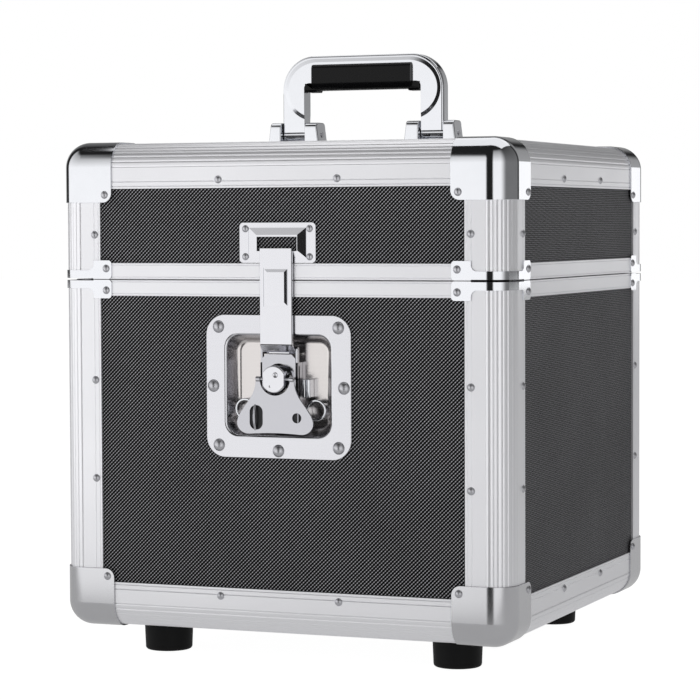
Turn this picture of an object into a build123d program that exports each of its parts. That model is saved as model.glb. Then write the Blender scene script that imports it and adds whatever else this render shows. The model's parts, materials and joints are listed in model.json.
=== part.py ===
from build123d import *
import os

# A carrying case for 12-inch records: laminated boards slotted into rounded aluminium
# edge extrusions, ball corners, a hinged lid, a recessed turn latch and a folding handle.
# Millimetres, +Z up, the front looks along -Y, origin on the floor under the case's centre.

# Driving dimensions of the case
case_width = 360.0
case_depth = 352.0
ground_clearance = 24.0
body_height = 366.0
base_share = 0.7205
split_gap = 0.6
post_gap = 1.7

# Boards and edge extrusions
board = 7.0
skin = 1.5
leg = 34.2
edge_radius = 18.0
board_clearance = 0.2

# Rims at the split
rim_height = 12.1
tongue_wall = 1.5
tongue_gap = 0.7
tongue_height = 4.4
tongue_root = 4.0

# Linings
lining = 3.0
lining_gap = 0.3
dish_window_gap = 4.0

# Corner caps and split braces
cap_sheet = 1.2
cap_reach = 44.5
cap_lobe = 7.0
brace_sheet = 1.0
brace_reach = 44.0
brace_shoulder = 29.0
brace_height = 14.0
brace_band = 6.0
brace_lobe = 2.5

# Rivets
rivet_head = 6.0
rivet_shank = 3.0
rivet_fit = 0.05
dome_share = 0.3
dome_roundness = 0.92
arc_share = 0.293
cap_rivet_inset = 38.7
post_rivet_inset = 29.5
edge_rivet_rise = 28.0
edge_rivet_spacing = 95.0
lid_post_rivet_rise = 33.6
base_post_rivet_drops = (76.2, 150.7)
brace_rivet_inset = 39.6
brace_rivet_rise = 7.6
dish_rivet_head = 9.5
keeper_rivet_head = 5.4

# Feet
foot_top_diameter = 38.0
foot_bottom_diameter = 36.0
foot_inset_x = 61.0
foot_inset_y = 59.0
foot_edge = 2.0
foot_screw_shank = 5.0
foot_screw_head = 10.0
foot_screw_head_height = 3.5
foot_screw_sink = 10.0
foot_nut_radius = 5.0
foot_nut_height = 2.6
screw_fit = 0.1

# Latch dish
latch_drop = 78.7
dish_width = 116.0
dish_height = 106.0
dish_corner = 15.0
dish_sheet = 1.2
dish_mouth_width = 84.0
dish_mouth_height = 75.0
dish_mouth_corner = 10.0
dish_mouth_rise = 1.0
dish_depth = 11.7
dish_taper = 22.0
dish_fit = 0.3
dish_rivet_x = 48.0
dish_rivet_z = 44.0
dish_rivet_side = 52.3
dish_rivet_end = 47.3

# Latch rotor, wing and hook plate
rotor_rise = 6.0
rotor_radius = 10.0
rotor_flat = 8.2
rotor_rim = 0.7
rotor_length = 7.0
rotor_ridges = 3
rotor_front = 8.5
rotor_neck_radius = 8.0
rotor_shaft_radius = 5.0
cam_radius = 6.5
cam_throw = 3.5
cam_side_gap = 0.4
cam_play = 1.0
journal_radius = 4.0
running_fit = 0.05
end_float = 0.3
rotor_head_radius = 6.5
rotor_head_height = 1.3
wing_sheet = 1.5
wing_behind = 4.5
wing_half_width = 30.5
wing_drop = 40.5
wing_shoulder = 15.2
wing_waist = 17.5
wing_waist_drop = 10.0
wing_corner = 8.5
wing_corner_drop = 31.5
wing_flare = 6.0
wing_flare_drop = 20.5
wing_bottom_bow = 0.8
wing_waist_slope = 0.33
wing_side_slope = 0.35
wing_window = 12.0
wing_knuckle_radius = 2.0
wing_knuckle_inner = 11.5
wing_knuckle_length = 3.6
wing_pin_radius = 1.0
wing_slot_x = 15.0
wing_hole_x = 17.5
wing_hole_drop = 28.3
wing_slot_width = 9.0
wing_slot_height = 18.0
wing_hole_radius = 3.6
eye_width = 3.0
eye_sheet = 1.2
eye_bow = 3.0
hook_sheet = 1.5
hook_half_width = 14.8
hook_top_half_width = 13.3
hook_front = -1.8
hook_top_rise = 18.0
hook_bottom_drop = 25.0
hook_chamfer = 3.0
hook_window_radius = 11.2
hook_lift = 7.0
yoke_sheet = 2.0
yoke_clear = 5.5
yoke_height = 26.0
stop_block_width = 6.5
stop_block_height = 14.0
stop_block_length = 8.0
stop_block_gap = 2.7
post_tube_radius = 8.0
post_tube_bore = 6.2
post_tube_length = 8.0
post_tube_x = 28.5
post_tube_drop = 23.0

# Latch strap and keeper
strap_half_width = 13.0
strap_sheet = 1.8
strap_behind = 1.3
strap_pad_width = 18.5
strap_pad_height = 27.0
strap_pad_relief = 1.5
strap_pad_rise = 5.2
strap_pad_taper = 40.0
strap_bottom_rise = 3.2
strap_shelf = 7.0
strap_shelf_sheet = 1.0
strap_pin_radius = 0.8
strap_pin_rise = 22.0
strap_pin_front = -4.0
strap_knuckle_radius = 1.6
strap_knuckle_half = 8.0
knuckle_gap = 0.3
lip_sheet = 1.7
lip_half_width = 12.5
lip_hook = 0.7
lip_hook_drop = 1.8
lip_gap = 0.4
keeper_width = 61.0
keeper_height = 30.0
keeper_corner = 3.0
keeper_sheet = 1.2
keeper_rim_gap = 0.1
keeper_frame_width = 45.8
keeper_frame_height = 22.0
keeper_frame_slope = 2.4
keeper_front = 1.1
keeper_window_width = 32.0
keeper_window_height = 10.6
keeper_window_rise = 8.8
keeper_rivet_x = 25.7
keeper_rivet_z = 10.3

# Handle
handle_rise = 62.6
handle_leg_width = 18.7
handle_depth = 13.0
handle_corner = 27.0
handle_bar = 7.0
handle_edge = 1.6
handle_foot_rise = 2.0
handle_pivot_rise = 11.3
handle_knuckle_radius = 4.6
handle_pin_radius = 2.0
handle_side_gap = 0.4
grip_half_width = 42.0
grip_height = 20.5
grip_depth = 20.0
grip_corner = 7.0
cheek_drop = 12.0
tiny = 0.01
bracket_outer = 81.0
bracket_inner = 35.0
bracket_depth = 24.0
bracket_plate = 4.4
bracket_corner = 5.0
bracket_ear_edge = 1.5
bracket_nut_radius = 3.6
bracket_nut_height = 2.4
ear_outer_wall = 8.0
ear_inner_wall = 9.0
ear_rise = 10.0
bracket_screw_radius = 2.0
bracket_screw_head = 3.8
screw_head_sink = 0.1
screw_head_angle = 90.0
bracket_screw_y = 8.6
bracket_screw_x = 58.0

# Lid hinges
hinge_width = 60.0
hinge_x = 90.0
hinge_leaf = 24.0
hinge_sheet = 1.5
hinge_knuckle_radius = 3.0
hinge_stand_off = 3.5
hinge_knuckles = 5
hinge_pin_radius = 1.4
hinge_clear = 4.2
hinge_rivet_spacing = 36.0
hinge_rivet_rise = 18.0

# Heights and planes that follow from the driving dimensions
body_bottom = ground_clearance
body_top = body_bottom + body_height
split_z = body_bottom + body_height * base_share
base_top = split_z - split_gap / 2
lid_bottom = split_z + split_gap / 2
half_width = case_width / 2
half_depth = case_depth / 2
board_back = skin + board
wall = board_back + skin
latch_z = split_z - latch_drop
rotor_z = latch_z + rotor_rise
dish_floor = skin - dish_sheet + dish_depth
cam_middle_depth = dish_floor - yoke_clear - yoke_sheet / 2
cam_front_depth = cam_middle_depth - yoke_sheet / 2 - cam_side_gap
cam_back_depth = cam_middle_depth + yoke_sheet / 2 + cam_side_gap
hook_neck_depth = hook_sheet - hook_front + cam_side_gap
wing_pin_front = wing_behind + wing_sheet / 2
strap_pin_z = rotor_z + strap_pin_rise
strap_bottom = strap_pin_z + strap_bottom_rise
keeper_bottom = lid_bottom + rim_height + keeper_rim_gap
keeper_z = keeper_bottom + keeper_height / 2
keeper_window_bottom = keeper_bottom + keeper_window_rise
strap_pin_y = -half_depth - strap_pin_front
handle_pin_z = body_top - skin + handle_pivot_rise


def front_plane(depth):
    """A plane at this depth behind the front face, looking out of the case."""
    return Plane.XZ.offset(half_depth - depth)


def face_planes(across, height, seat, faces="fblr"):
    """Planes on the four sides at the same distance from each side's middle."""
    planes = []
    for sign in (-1, 1):
        if "f" in faces:
            planes.append(Plane((sign * across, -half_depth + seat, height), z_dir=(0, -1, 0)))
        if "b" in faces:
            planes.append(Plane((sign * across, half_depth - seat, height), z_dir=(0, 1, 0)))
        if "l" in faces:
            planes.append(Plane((-half_width + seat, sign * across, height), z_dir=(-1, 0, 0)))
        if "r" in faces:
            planes.append(Plane((half_width - seat, sign * across, height), z_dir=(1, 0, 0)))
    return planes


def corner_planes(inset, height, seat):
    """Planes on the four sides at the same distance from the case's corners."""
    across_front = face_planes(half_width - inset, height, seat, "fb")
    across_side = face_planes(half_depth - inset, height, seat, "lr")
    return across_front + across_side


def make_rivets(planes, head_diameter, seat):
    """Domed rivets whose shanks end at the boards' inner face."""
    height = head_diameter * dome_share
    with BuildPart() as one:
        Cylinder(head_diameter / 2, height, align=(Align.CENTER, Align.CENTER, Align.MIN))
        fillet(one.edges().group_by(Axis.Z)[-1], height * dome_roundness)
        Cylinder(rivet_shank / 2, board_back - seat, align=(Align.CENTER, Align.CENTER, Align.MAX))
    with BuildPart() as group:
        with Locations(*planes):
            add(one.part)
    return group


def make_drill(planes, length):
    """Holes for the shanks, as solids to cut away."""
    with BuildPart() as drill:
        with Locations(*planes):
            Cylinder(rivet_shank / 2 + rivet_fit, length, align=(Align.CENTER, Align.CENTER, Align.MAX))
    return drill


# Where the rivets stand
base_cap_z = body_bottom + cap_rivet_inset
lid_cap_z = body_top - cap_rivet_inset
base_edge_z = body_bottom + edge_rivet_rise
lid_edge_z = body_top - edge_rivet_rise
hinge_rivet_x = [side * hinge_x + step * hinge_rivet_spacing / 2 for side in (-1, 1) for step in (-1, 1)]
hinge_rivet_planes_base = [
    Plane((x, half_depth + hinge_sheet, split_z - hinge_rivet_rise), z_dir=(0, 1, 0)) for x in hinge_rivet_x
]
hinge_rivet_planes_lid = [
    Plane((x, half_depth + hinge_sheet, split_z + hinge_rivet_rise), z_dir=(0, 1, 0)) for x in hinge_rivet_x
]
base_skin_planes = face_planes(edge_rivet_spacing / 2, base_edge_z, 0)
for drop in base_post_rivet_drops:
    base_skin_planes += corner_planes(post_rivet_inset, split_z - drop, 0)
lid_skin_planes = face_planes(edge_rivet_spacing / 2, lid_edge_z, 0)
lid_skin_planes += corner_planes(post_rivet_inset, split_z + lid_post_rivet_rise, 0)
base_cap_planes = corner_planes(cap_rivet_inset, base_cap_z, -cap_sheet)
lid_cap_planes = corner_planes(cap_rivet_inset, lid_cap_z, -cap_sheet)
base_brace_planes = corner_planes(brace_rivet_inset, split_z - brace_rivet_rise - split_gap, -brace_sheet)
lid_brace_planes = corner_planes(brace_rivet_inset, split_z + brace_rivet_rise + split_gap, -brace_sheet)
dish_seat = skin - dish_sheet
dish_rivet_spots = [(x * dish_rivet_x, z * dish_rivet_z) for x in (-1, 1) for z in (-1, 1)]
dish_rivet_spots += [(-dish_rivet_side, 0), (dish_rivet_side, 0), (0, -dish_rivet_end)]
dish_rivet_planes = [
    Plane((x, -half_depth + dish_seat, latch_z + z), z_dir=(0, -1, 0)) for x, z in dish_rivet_spots
]
keeper_seat = skin - keeper_sheet
keeper_rivet_planes = [
    Plane((x * keeper_rivet_x, -half_depth + keeper_seat, keeper_z + z * keeper_rivet_z), z_dir=(0, -1, 0))
    for x in (-1, 1) for z in (-1, 1)
]

base_drill = make_drill(
    base_skin_planes + base_cap_planes + base_brace_planes + dish_rivet_planes + hinge_rivet_planes_base,
    wall,
)
lid_drill = make_drill(
    lid_skin_planes + lid_cap_planes + lid_brace_planes + keeper_rivet_planes + hinge_rivet_planes_lid,
    wall,
)


def finish(builder, name):
    """Names a piece and writes its file."""
    builder.part.label = name
    export_step(builder.part, f"parts/{name}.step")
    print(name, len(builder.part.solids()), "solids")


# Edge extrusions
def hollow_section():
    """The hollow in the extrusion's corner, between the skin and the ends of the slots."""
    core = edge_radius - 2 * skin
    with BuildSketch() as hollow:
        with Locations((skin, skin)):
            Rectangle(core, core, align=(Align.MIN, Align.MIN))
        with Locations((edge_radius, edge_radius)):
            Circle(edge_radius - skin, mode=Mode.INTERSECT)
        with Locations((board_back, board_back)):
            Rectangle(core, core, align=(Align.MIN, Align.MIN), mode=Mode.SUBTRACT)
    return hollow.sketch


def edge_section():
    """Rounded skin, an inner web and two slots for the boards."""
    slot = leg - edge_radius
    with BuildSketch() as profile:
        Rectangle(leg, leg, align=(Align.MIN, Align.MIN))
        fillet(profile.vertices().group_by(Axis.X)[0].sort_by(Axis.Y)[0], edge_radius)
        with Locations((wall, wall)):
            Rectangle(leg, leg, align=(Align.MIN, Align.MIN), mode=Mode.SUBTRACT)
        with Locations((edge_radius, skin)):
            Rectangle(slot, board, align=(Align.MIN, Align.MIN), mode=Mode.SUBTRACT)
        with Locations((skin, edge_radius)):
            Rectangle(board, slot, align=(Align.MIN, Align.MIN), mode=Mode.SUBTRACT)
        add(hollow_section(), mode=Mode.SUBTRACT)
    return profile.sketch


def make_edge(start, end, inward_a, inward_b, mitre_end, drill):
    """One extrusion from a corner of the case, mitred where it meets its neighbours."""
    start = Vector(start)
    end = Vector(end)
    inward_a = Vector(inward_a)
    inward_b = Vector(inward_b)
    along = inward_a.cross(inward_b)
    if along.dot(end - start) < 0:
        inward_a, inward_b = inward_b, inward_a
        along = inward_a.cross(inward_b)
    length = (end - start).length - edge_radius - (edge_radius if mitre_end else 0)
    with BuildPart() as edge:
        with BuildSketch(Plane(origin=start + along * edge_radius, x_dir=inward_a, z_dir=along)):
            add(edge_section())
        extrude(amount=length)
        for inward in (inward_a, inward_b):
            split(bisect_by=Plane(origin=start, z_dir=inward - along), keep=Keep.BOTTOM)
            if mitre_end:
                split(bisect_by=Plane(origin=end, z_dir=inward + along), keep=Keep.BOTTOM)
        add(drill.part, mode=Mode.SUBTRACT)
    return edge


side_names = {-1: "left", 1: "right"}
face_names = {-1: "front", 1: "back"}
halves = (
    ("base", body_bottom, split_z - post_gap / 2, 1, base_drill),
    ("lid", body_top, split_z + post_gap / 2, -1, lid_drill),
)
for half, outer_z, post_end, upwards, drill in halves:
    for y_side, face in face_names.items():
        x_edge = make_edge(
            (-half_width, y_side * half_depth, outer_z),
            (half_width, y_side * half_depth, outer_z),
            (0, -y_side, 0), (0, 0, upwards), True, drill,
        )
        finish(x_edge, f"{half}_{face}_edge")
        for x_side, side in side_names.items():
            post = make_edge(
                (x_side * half_width, y_side * half_depth, outer_z),
                (x_side * half_width, y_side * half_depth, post_end),
                (-x_side, 0, 0), (0, -y_side, 0), False, drill,
            )
            finish(post, f"{half}_{face}_{side}_post")
    for x_side, side in side_names.items():
        y_edge = make_edge(
            (x_side * half_width, -half_depth, outer_z),
            (x_side * half_width, half_depth, outer_z),
            (-x_side, 0, 0), (0, 0, upwards), True, drill,
        )
        finish(y_edge, f"{half}_{side}_edge")


# Boards
def make_board(width, height, plane, drill):
    """A laminated board whose outer face lies on the plane."""
    with BuildPart() as sheet:
        with BuildSketch(plane):
            Rectangle(width, height)
        extrude(amount=-board)
        add(drill.part, mode=Mode.SUBTRACT)
    return sheet


board_inset = edge_radius + board_clearance
front_board_width = case_width - 2 * board_inset
side_board_width = case_depth - 2 * board_inset
base_board_low = body_bottom + board_inset
base_board_high = base_top - skin
lid_board_low = lid_bottom + skin
lid_board_high = body_top - board_inset
board_halves = (
    ("base", base_board_low, base_board_high, base_drill),
    ("lid", lid_board_low, lid_board_high, lid_drill),
)
for half, low, high, drill in board_halves:
    middle = (low + high) / 2
    for y_side, face in face_names.items():
        plane = Plane((0, y_side * (half_depth - skin), middle), x_dir=(1, 0, 0), z_dir=(0, y_side, 0))
        face_board = make_board(front_board_width, high - low, plane, drill)
        if (half, face) == ("base", "front"):
            with BuildPart() as dished:
                add(face_board.part)
                with BuildSketch(front_plane(skin)):
                    with Locations((0, latch_z + dish_mouth_rise)):
                        RectangleRounded(
                            dish_mouth_width + 2 * (dish_sheet + dish_fit),
                            dish_mouth_height + 2 * (dish_sheet + dish_fit),
                            dish_mouth_corner + dish_sheet,
                        )
                extrude(amount=-board, mode=Mode.SUBTRACT)
            face_board = dished
        finish(face_board, f"{half}_{face}_panel")
    for x_side, side in side_names.items():
        plane = Plane((x_side * (half_width - skin), 0, middle), x_dir=(0, 1, 0), z_dir=(x_side, 0, 0))
        finish(make_board(side_board_width, high - low, plane, drill), f"{half}_{side}_panel")

foot_x = half_width - foot_inset_x
foot_y = half_depth - foot_inset_y
foot_spots = [(x * foot_x, y * foot_y) for x in (-1, 1) for y in (-1, 1)]
with BuildPart() as base_floor_panel:
    with BuildSketch(Plane.XY.offset(body_bottom + skin)):
        Rectangle(front_board_width, side_board_width)
    extrude(amount=board)
    with Locations(*[(x, y, body_bottom + skin + board) for x, y in foot_spots]):
        Hole((foot_screw_shank + screw_fit) / 2, board)
finish(base_floor_panel, "base_floor_panel")

bracket_x = (bracket_inner + bracket_outer) / 2
bracket_screw_spots = [
    (x * bracket_screw_x, y * bracket_screw_y) for x in (-1, 1) for y in (-1, 1)
]
with BuildPart() as lid_top_panel:
    with BuildSketch(Plane.XY.offset(body_top - skin)):
        Rectangle(front_board_width, side_board_width)
    extrude(amount=-board)
    with Locations(*[(x, y, body_top - skin) for x, y in bracket_screw_spots]):
        Hole(bracket_screw_radius + rivet_fit, board)
finish(lid_top_panel, "lid_top_panel")


# Rims: channels over the boards' edges at the split
def rim_section(upwards):
    """A channel whose mouth looks away from the split; the base's also carries the tongue."""
    with BuildSketch() as channel:
        Rectangle(skin, rim_height, align=(Align.MIN, Align.MIN))
        Rectangle(wall, skin, align=(Align.MIN, Align.MIN))
        with Locations((board_back, 0)):
            Rectangle(skin, rim_height, align=(Align.MIN, Align.MIN))
        if not upwards:
            tongue_out = wall + tongue_gap + tongue_wall
            with Locations((wall, 0)):
                Rectangle(tongue_out - wall, tongue_root, align=(Align.MIN, Align.MIN))
            with Locations((wall + tongue_gap, -tongue_height)):
                Rectangle(tongue_wall, tongue_height, align=(Align.MIN, Align.MIN))
    return channel.sketch


def make_rim(level, upwards, drill):
    """Four channels around one half of the case."""
    away = 1 if upwards else -1
    with BuildPart() as rim:
        for y_side in (-1, 1):
            run = Vector(0, -y_side, 0).cross(Vector(0, 0, away))
            plane = Plane(origin=(0, y_side * half_depth, level), x_dir=(0, -y_side, 0), z_dir=run)
            with BuildSketch(plane):
                add(rim_section(upwards))
            extrude(amount=half_width - leg, both=True)
        for x_side in (-1, 1):
            run = Vector(-x_side, 0, 0).cross(Vector(0, 0, away))
            plane = Plane(origin=(x_side * half_width, 0, level), x_dir=(-x_side, 0, 0), z_dir=run)
            with BuildSketch(plane):
                add(rim_section(upwards))
            extrude(amount=half_depth - leg, both=True)
        add(drill.part, mode=Mode.SUBTRACT)
    return rim


finish(make_rim(base_top, False, base_drill), "base_rim")
finish(make_rim(lid_bottom, True, lid_drill), "lid_rim")


# Corner caps
def corner_block(reach, grow, round_radius, upwards):
    """A block at the front right corner whose three outer edges and vertex are rounded."""
    level = body_bottom - grow if upwards else body_top + grow
    sign = 1 if upwards else -1
    far = Vector(half_width - reach, -half_depth + reach, level + sign * (reach + grow))
    near = Vector(half_width + grow, -half_depth - grow, level)
    with BuildPart() as block:
        with Locations((near + far) / 2):
            Box(reach + grow, reach + grow, reach + grow)
        fillet(block.edges().sort_by_distance(near)[:3], round_radius)
    return block, far


def make_caps(upwards, drill):
    """Four ball corners, each a sheet bent over the ends of three extrusions."""
    inner = corner_block(cap_reach + cap_sheet, 0, edge_radius, upwards)[0]
    outer, far = corner_block(cap_reach, cap_sheet, edge_radius + cap_sheet, upwards)
    with BuildPart() as caps:
        add(outer.part)
        fillet(caps.edges().sort_by_distance(far)[:3], cap_lobe)
        add(inner.part, mode=Mode.SUBTRACT)
        mirror(about=Plane.YZ)
        mirror(about=Plane.XZ)
        add(drill.part, mode=Mode.SUBTRACT)
    return caps


finish(make_caps(True, base_drill), "base_corner_caps")
finish(make_caps(False, lid_drill), "lid_corner_caps")


# Braces that hold the posts to the rims at the split
def corner_outline(reach, grow, radius):
    """A square at the front right corner with its outer vertex rounded."""
    corner = (half_width + grow, -half_depth - grow)
    with BuildSketch() as outline:
        with Locations(corner):
            Rectangle(reach + grow, reach + grow, align=(Align.MAX, Align.MIN))
        fillet(outline.vertices().sort_by_distance(corner)[0], radius)
    return outline.sketch


def make_braces(low, upwards, drill):
    """Four bands around the posts, each with a riveted tab on either face."""
    direction = 1 if upwards else -1
    gap = (post_gap - split_gap) / 2
    tab_width = brace_reach - brace_shoulder
    tab_middle = (brace_reach + brace_shoulder) / 2
    tab_z = low + direction * brace_height / 2
    side_plane = Plane((half_width, 0, 0), x_dir=(0, 1, 0), z_dir=(1, 0, 0))
    tabs = ((front_plane(0), half_width - tab_middle), (side_plane, -half_depth + tab_middle))
    with BuildPart() as braces:
        with BuildSketch(Plane.XY.offset(low + direction * gap)):
            add(corner_outline(brace_reach - brace_lobe, brace_sheet, edge_radius + brace_sheet))
            add(corner_outline(brace_reach + leg, 0, edge_radius), mode=Mode.SUBTRACT)
        extrude(amount=direction * brace_band)
        for plane, across in tabs:
            with BuildSketch(plane):
                with Locations((across, tab_z)):
                    RectangleRounded(tab_width, brace_height, brace_lobe)
            extrude(amount=brace_sheet)
        mirror(about=Plane.YZ)
        mirror(about=Plane.XZ)
        add(drill.part, mode=Mode.SUBTRACT)
    return braces


finish(make_braces(base_top, False, base_drill), "base_split_braces")
finish(make_braces(lid_bottom, True, lid_drill), "lid_split_braces")

# Linings between the extrusions' inner webs
lining_x = half_width - leg - lining_gap
lining_y = half_depth - leg - lining_gap
base_lining_low = body_bottom + leg + lining_gap
base_lining_high = base_top - rim_height - lining_gap
lid_lining_low = lid_bottom + rim_height + lining_gap
lid_lining_high = body_top - leg - lining_gap


def make_lining(low, high, flat_z, windowed):
    """Foam sheets glued to the boards: four walls and one flat sheet."""
    middle = (low + high) / 2
    with BuildPart() as lining_part:
        for y_side in (-1, 1):
            face_y = y_side * (half_depth - board_back)
            with BuildSketch(Plane((0, face_y, middle), x_dir=(1, 0, 0), z_dir=(0, -y_side, 0))):
                Rectangle(2 * lining_x, high - low)
            extrude(amount=lining)
        for x_side in (-1, 1):
            face_x = x_side * (half_width - board_back)
            with BuildSketch(Plane((face_x, 0, middle), x_dir=(0, 1, 0), z_dir=(-x_side, 0, 0))):
                Rectangle(2 * lining_y, high - low)
            extrude(amount=lining)
        with BuildSketch(Plane.XY.offset(flat_z)):
            Rectangle(2 * lining_x, 2 * lining_y)
        extrude(amount=lining if windowed else -lining)
        if windowed:
            with BuildSketch(front_plane(board_back)):
                with Locations((0, latch_z + dish_mouth_rise)):
                    Rectangle(dish_mouth_width + 2 * dish_window_gap, dish_mouth_height + 2 * dish_window_gap)
            extrude(amount=-lining, mode=Mode.SUBTRACT)
            with Locations(*[(x, y, flat_z + lining) for x, y in foot_spots]):
                Hole(foot_nut_radius + lining_gap, lining)
        else:
            with Locations(*[(x, y, flat_z) for x, y in bracket_screw_spots]):
                Hole(bracket_nut_radius + lining_gap, lining)
    return lining_part


finish(make_lining(base_lining_low, base_lining_high, body_bottom + board_back, True), "base_lining")
finish(make_lining(lid_lining_low, lid_lining_high, body_top - board_back, False), "lid_lining")

# Rivets
with BuildPart() as base_rivets:
    add(make_rivets(base_skin_planes, rivet_head, 0).part)
    add(make_rivets(base_cap_planes, rivet_head, -cap_sheet).part)
    add(make_rivets(base_brace_planes, rivet_head, -brace_sheet).part)
    add(make_rivets(hinge_rivet_planes_base, rivet_head, -hinge_sheet).part)
finish(base_rivets, "base_rivets")
with BuildPart() as lid_rivets:
    add(make_rivets(lid_skin_planes, rivet_head, 0).part)
    add(make_rivets(lid_cap_planes, rivet_head, -cap_sheet).part)
    add(make_rivets(lid_brace_planes, rivet_head, -brace_sheet).part)
    add(make_rivets(hinge_rivet_planes_lid, rivet_head, -hinge_sheet).part)
finish(lid_rivets, "lid_rivets")
finish(make_rivets(dish_rivet_planes, dish_rivet_head, dish_seat), "dish_rivets")
finish(make_rivets(keeper_rivet_planes, keeper_rivet_head, keeper_seat), "keeper_rivets")

# Feet and the screws up through them into the floor board
foot_height = body_bottom + skin
with BuildPart() as feet:
    with BuildSketch(Plane.XZ):
        with BuildLine():
            Polyline(
                (0, 0),
                (foot_bottom_diameter / 2 - foot_edge, 0),
                (foot_bottom_diameter / 2, foot_edge),
                (foot_top_diameter / 2, foot_height),
                (0, foot_height),
                close=True,
            )
        make_face()
    revolve(axis=Axis.Z)
    bottom = Plane(origin=(0, 0, 0), z_dir=(0, 0, -1))
    with Locations(bottom):
        CounterBoreHole(
            (foot_screw_shank + screw_fit) / 2, (foot_screw_head + 2 * screw_fit) / 2, foot_screw_sink
        )
with BuildPart() as all_feet:
    with Locations(*foot_spots):
        add(feet.part)
finish(all_feet, "feet")
foot_screw_length = foot_height + board - foot_screw_sink
with BuildPart() as foot_screw:
    with Locations((0, 0, foot_screw_sink)):
        Cylinder(foot_screw_head / 2, foot_screw_head_height, align=(Align.CENTER, Align.CENTER, Align.MAX))
        Cylinder(foot_screw_shank / 2, foot_screw_length, align=(Align.CENTER, Align.CENTER, Align.MIN))
    fillet(foot_screw.edges().group_by(Axis.Z)[0], foot_screw_head_height * dome_share)
    with Locations((0, 0, foot_height + board)):
        Cylinder(foot_nut_radius, foot_nut_height, align=(Align.CENTER, Align.CENTER, Align.MIN))
with BuildPart() as foot_screws:
    with Locations(*foot_spots):
        add(foot_screw.part)
finish(foot_screws, "foot_screws")

# Latch dish: a pressed plate with a tapered recess
dish_front = front_plane(dish_seat)
mouth_z = latch_z + dish_mouth_rise
with BuildPart() as latch_dish:
    with BuildSketch(dish_front):
        with Locations((0, latch_z)):
            RectangleRounded(dish_width, dish_height, dish_corner)
    extrude(amount=-dish_sheet)
    with BuildSketch(dish_front):
        with Locations((0, mouth_z)):
            RectangleRounded(
                dish_mouth_width + 2 * dish_sheet,
                dish_mouth_height + 2 * dish_sheet,
                dish_mouth_corner + dish_sheet,
            )
    extrude(amount=-dish_depth - dish_sheet, taper=dish_taper)
    with BuildSketch(dish_front):
        with Locations((0, mouth_z)):
            RectangleRounded(dish_mouth_width, dish_mouth_height, dish_mouth_corner)
    extrude(amount=-dish_depth, taper=dish_taper, mode=Mode.SUBTRACT)
    with Locations(Plane((0, -half_depth + dish_floor, rotor_z), z_dir=(0, -1, 0))):
        Hole(journal_radius + running_fit, 2 * dish_sheet)
    add(base_drill.part, mode=Mode.SUBTRACT)
finish(latch_dish, "latch_dish")

# Rest tubes and the stop block on the dish's floor
with BuildPart() as latch_rest_tubes:
    with BuildSketch(front_plane(dish_floor)):
        with Locations((-post_tube_x, rotor_z - post_tube_drop), (post_tube_x, rotor_z - post_tube_drop)):
            Circle(post_tube_radius)
            Circle(post_tube_bore, mode=Mode.SUBTRACT)
    extrude(amount=post_tube_length)
finish(latch_rest_tubes, "latch_rest_tubes")

with BuildPart() as latch_stop_block:
    with BuildSketch(front_plane(dish_floor)):
        with Locations((hook_half_width + stop_block_gap, rotor_z)):
            Rectangle(stop_block_width, stop_block_height, align=(Align.MIN, Align.MAX))
    extrude(amount=stop_block_length)
    fillet(latch_stop_block.edges().filter_by(Axis.Z), stop_block_width * dome_share)
finish(latch_stop_block, "latch_stop_block")

# Rotor: ridged head, neck, shaft, eccentric cam and a journal headed over behind the dish
rotor_neck_front = rotor_front - rotor_length
rotor_head_front = -dish_floor - dish_sheet - end_float
rotor_stages = (
    (rotor_radius, rotor_front, rotor_neck_front),
    (rotor_neck_radius, rotor_neck_front, -hook_neck_depth),
    (rotor_shaft_radius, -hook_neck_depth, -cam_front_depth),
    (journal_radius, -cam_back_depth, rotor_head_front),
    (rotor_head_radius, rotor_head_front, rotor_head_front - rotor_head_height),
)
with BuildPart() as latch_rotor:
    for radius, near, far in rotor_stages:
        with BuildSketch(front_plane(-near)):
            with Locations((0, rotor_z)):
                Circle(radius)
                Rectangle(2 * min(radius, rotor_flat), 2 * radius, mode=Mode.INTERSECT)
        extrude(amount=far - near)
    with BuildSketch(front_plane(cam_front_depth)):
        with Locations((0, rotor_z - cam_throw)):
            Circle(cam_radius)
    extrude(amount=cam_front_depth - cam_back_depth)
    for step in range(1, rotor_ridges):
        ring_front = rotor_front - step * rotor_length / rotor_ridges
        with BuildSketch(front_plane(-ring_front)):
            with Locations((0, rotor_z)):
                Circle(rotor_radius + rotor_rim)
                Circle(rotor_radius - rotor_rim, mode=Mode.SUBTRACT)
        extrude(amount=-rotor_rim, mode=Mode.SUBTRACT)
    with Locations(Plane((0, -half_depth - wing_pin_front, rotor_z), z_dir=(1, 0, 0))):
        Cylinder(wing_pin_radius, 3 * rotor_radius, mode=Mode.SUBTRACT)
    chamfer(latch_rotor.faces().sort_by(Axis.Y)[0].edges(), rotor_rim)
finish(latch_rotor, "latch_rotor")

with BuildPart() as wing_pin:
    with BuildSketch(Plane.YZ):
        with Locations((-half_depth - wing_pin_front, rotor_z)):
            Circle(wing_pin_radius)
    extrude(amount=wing_knuckle_inner + wing_knuckle_length, both=True)
finish(wing_pin, "wing_pin")

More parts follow.
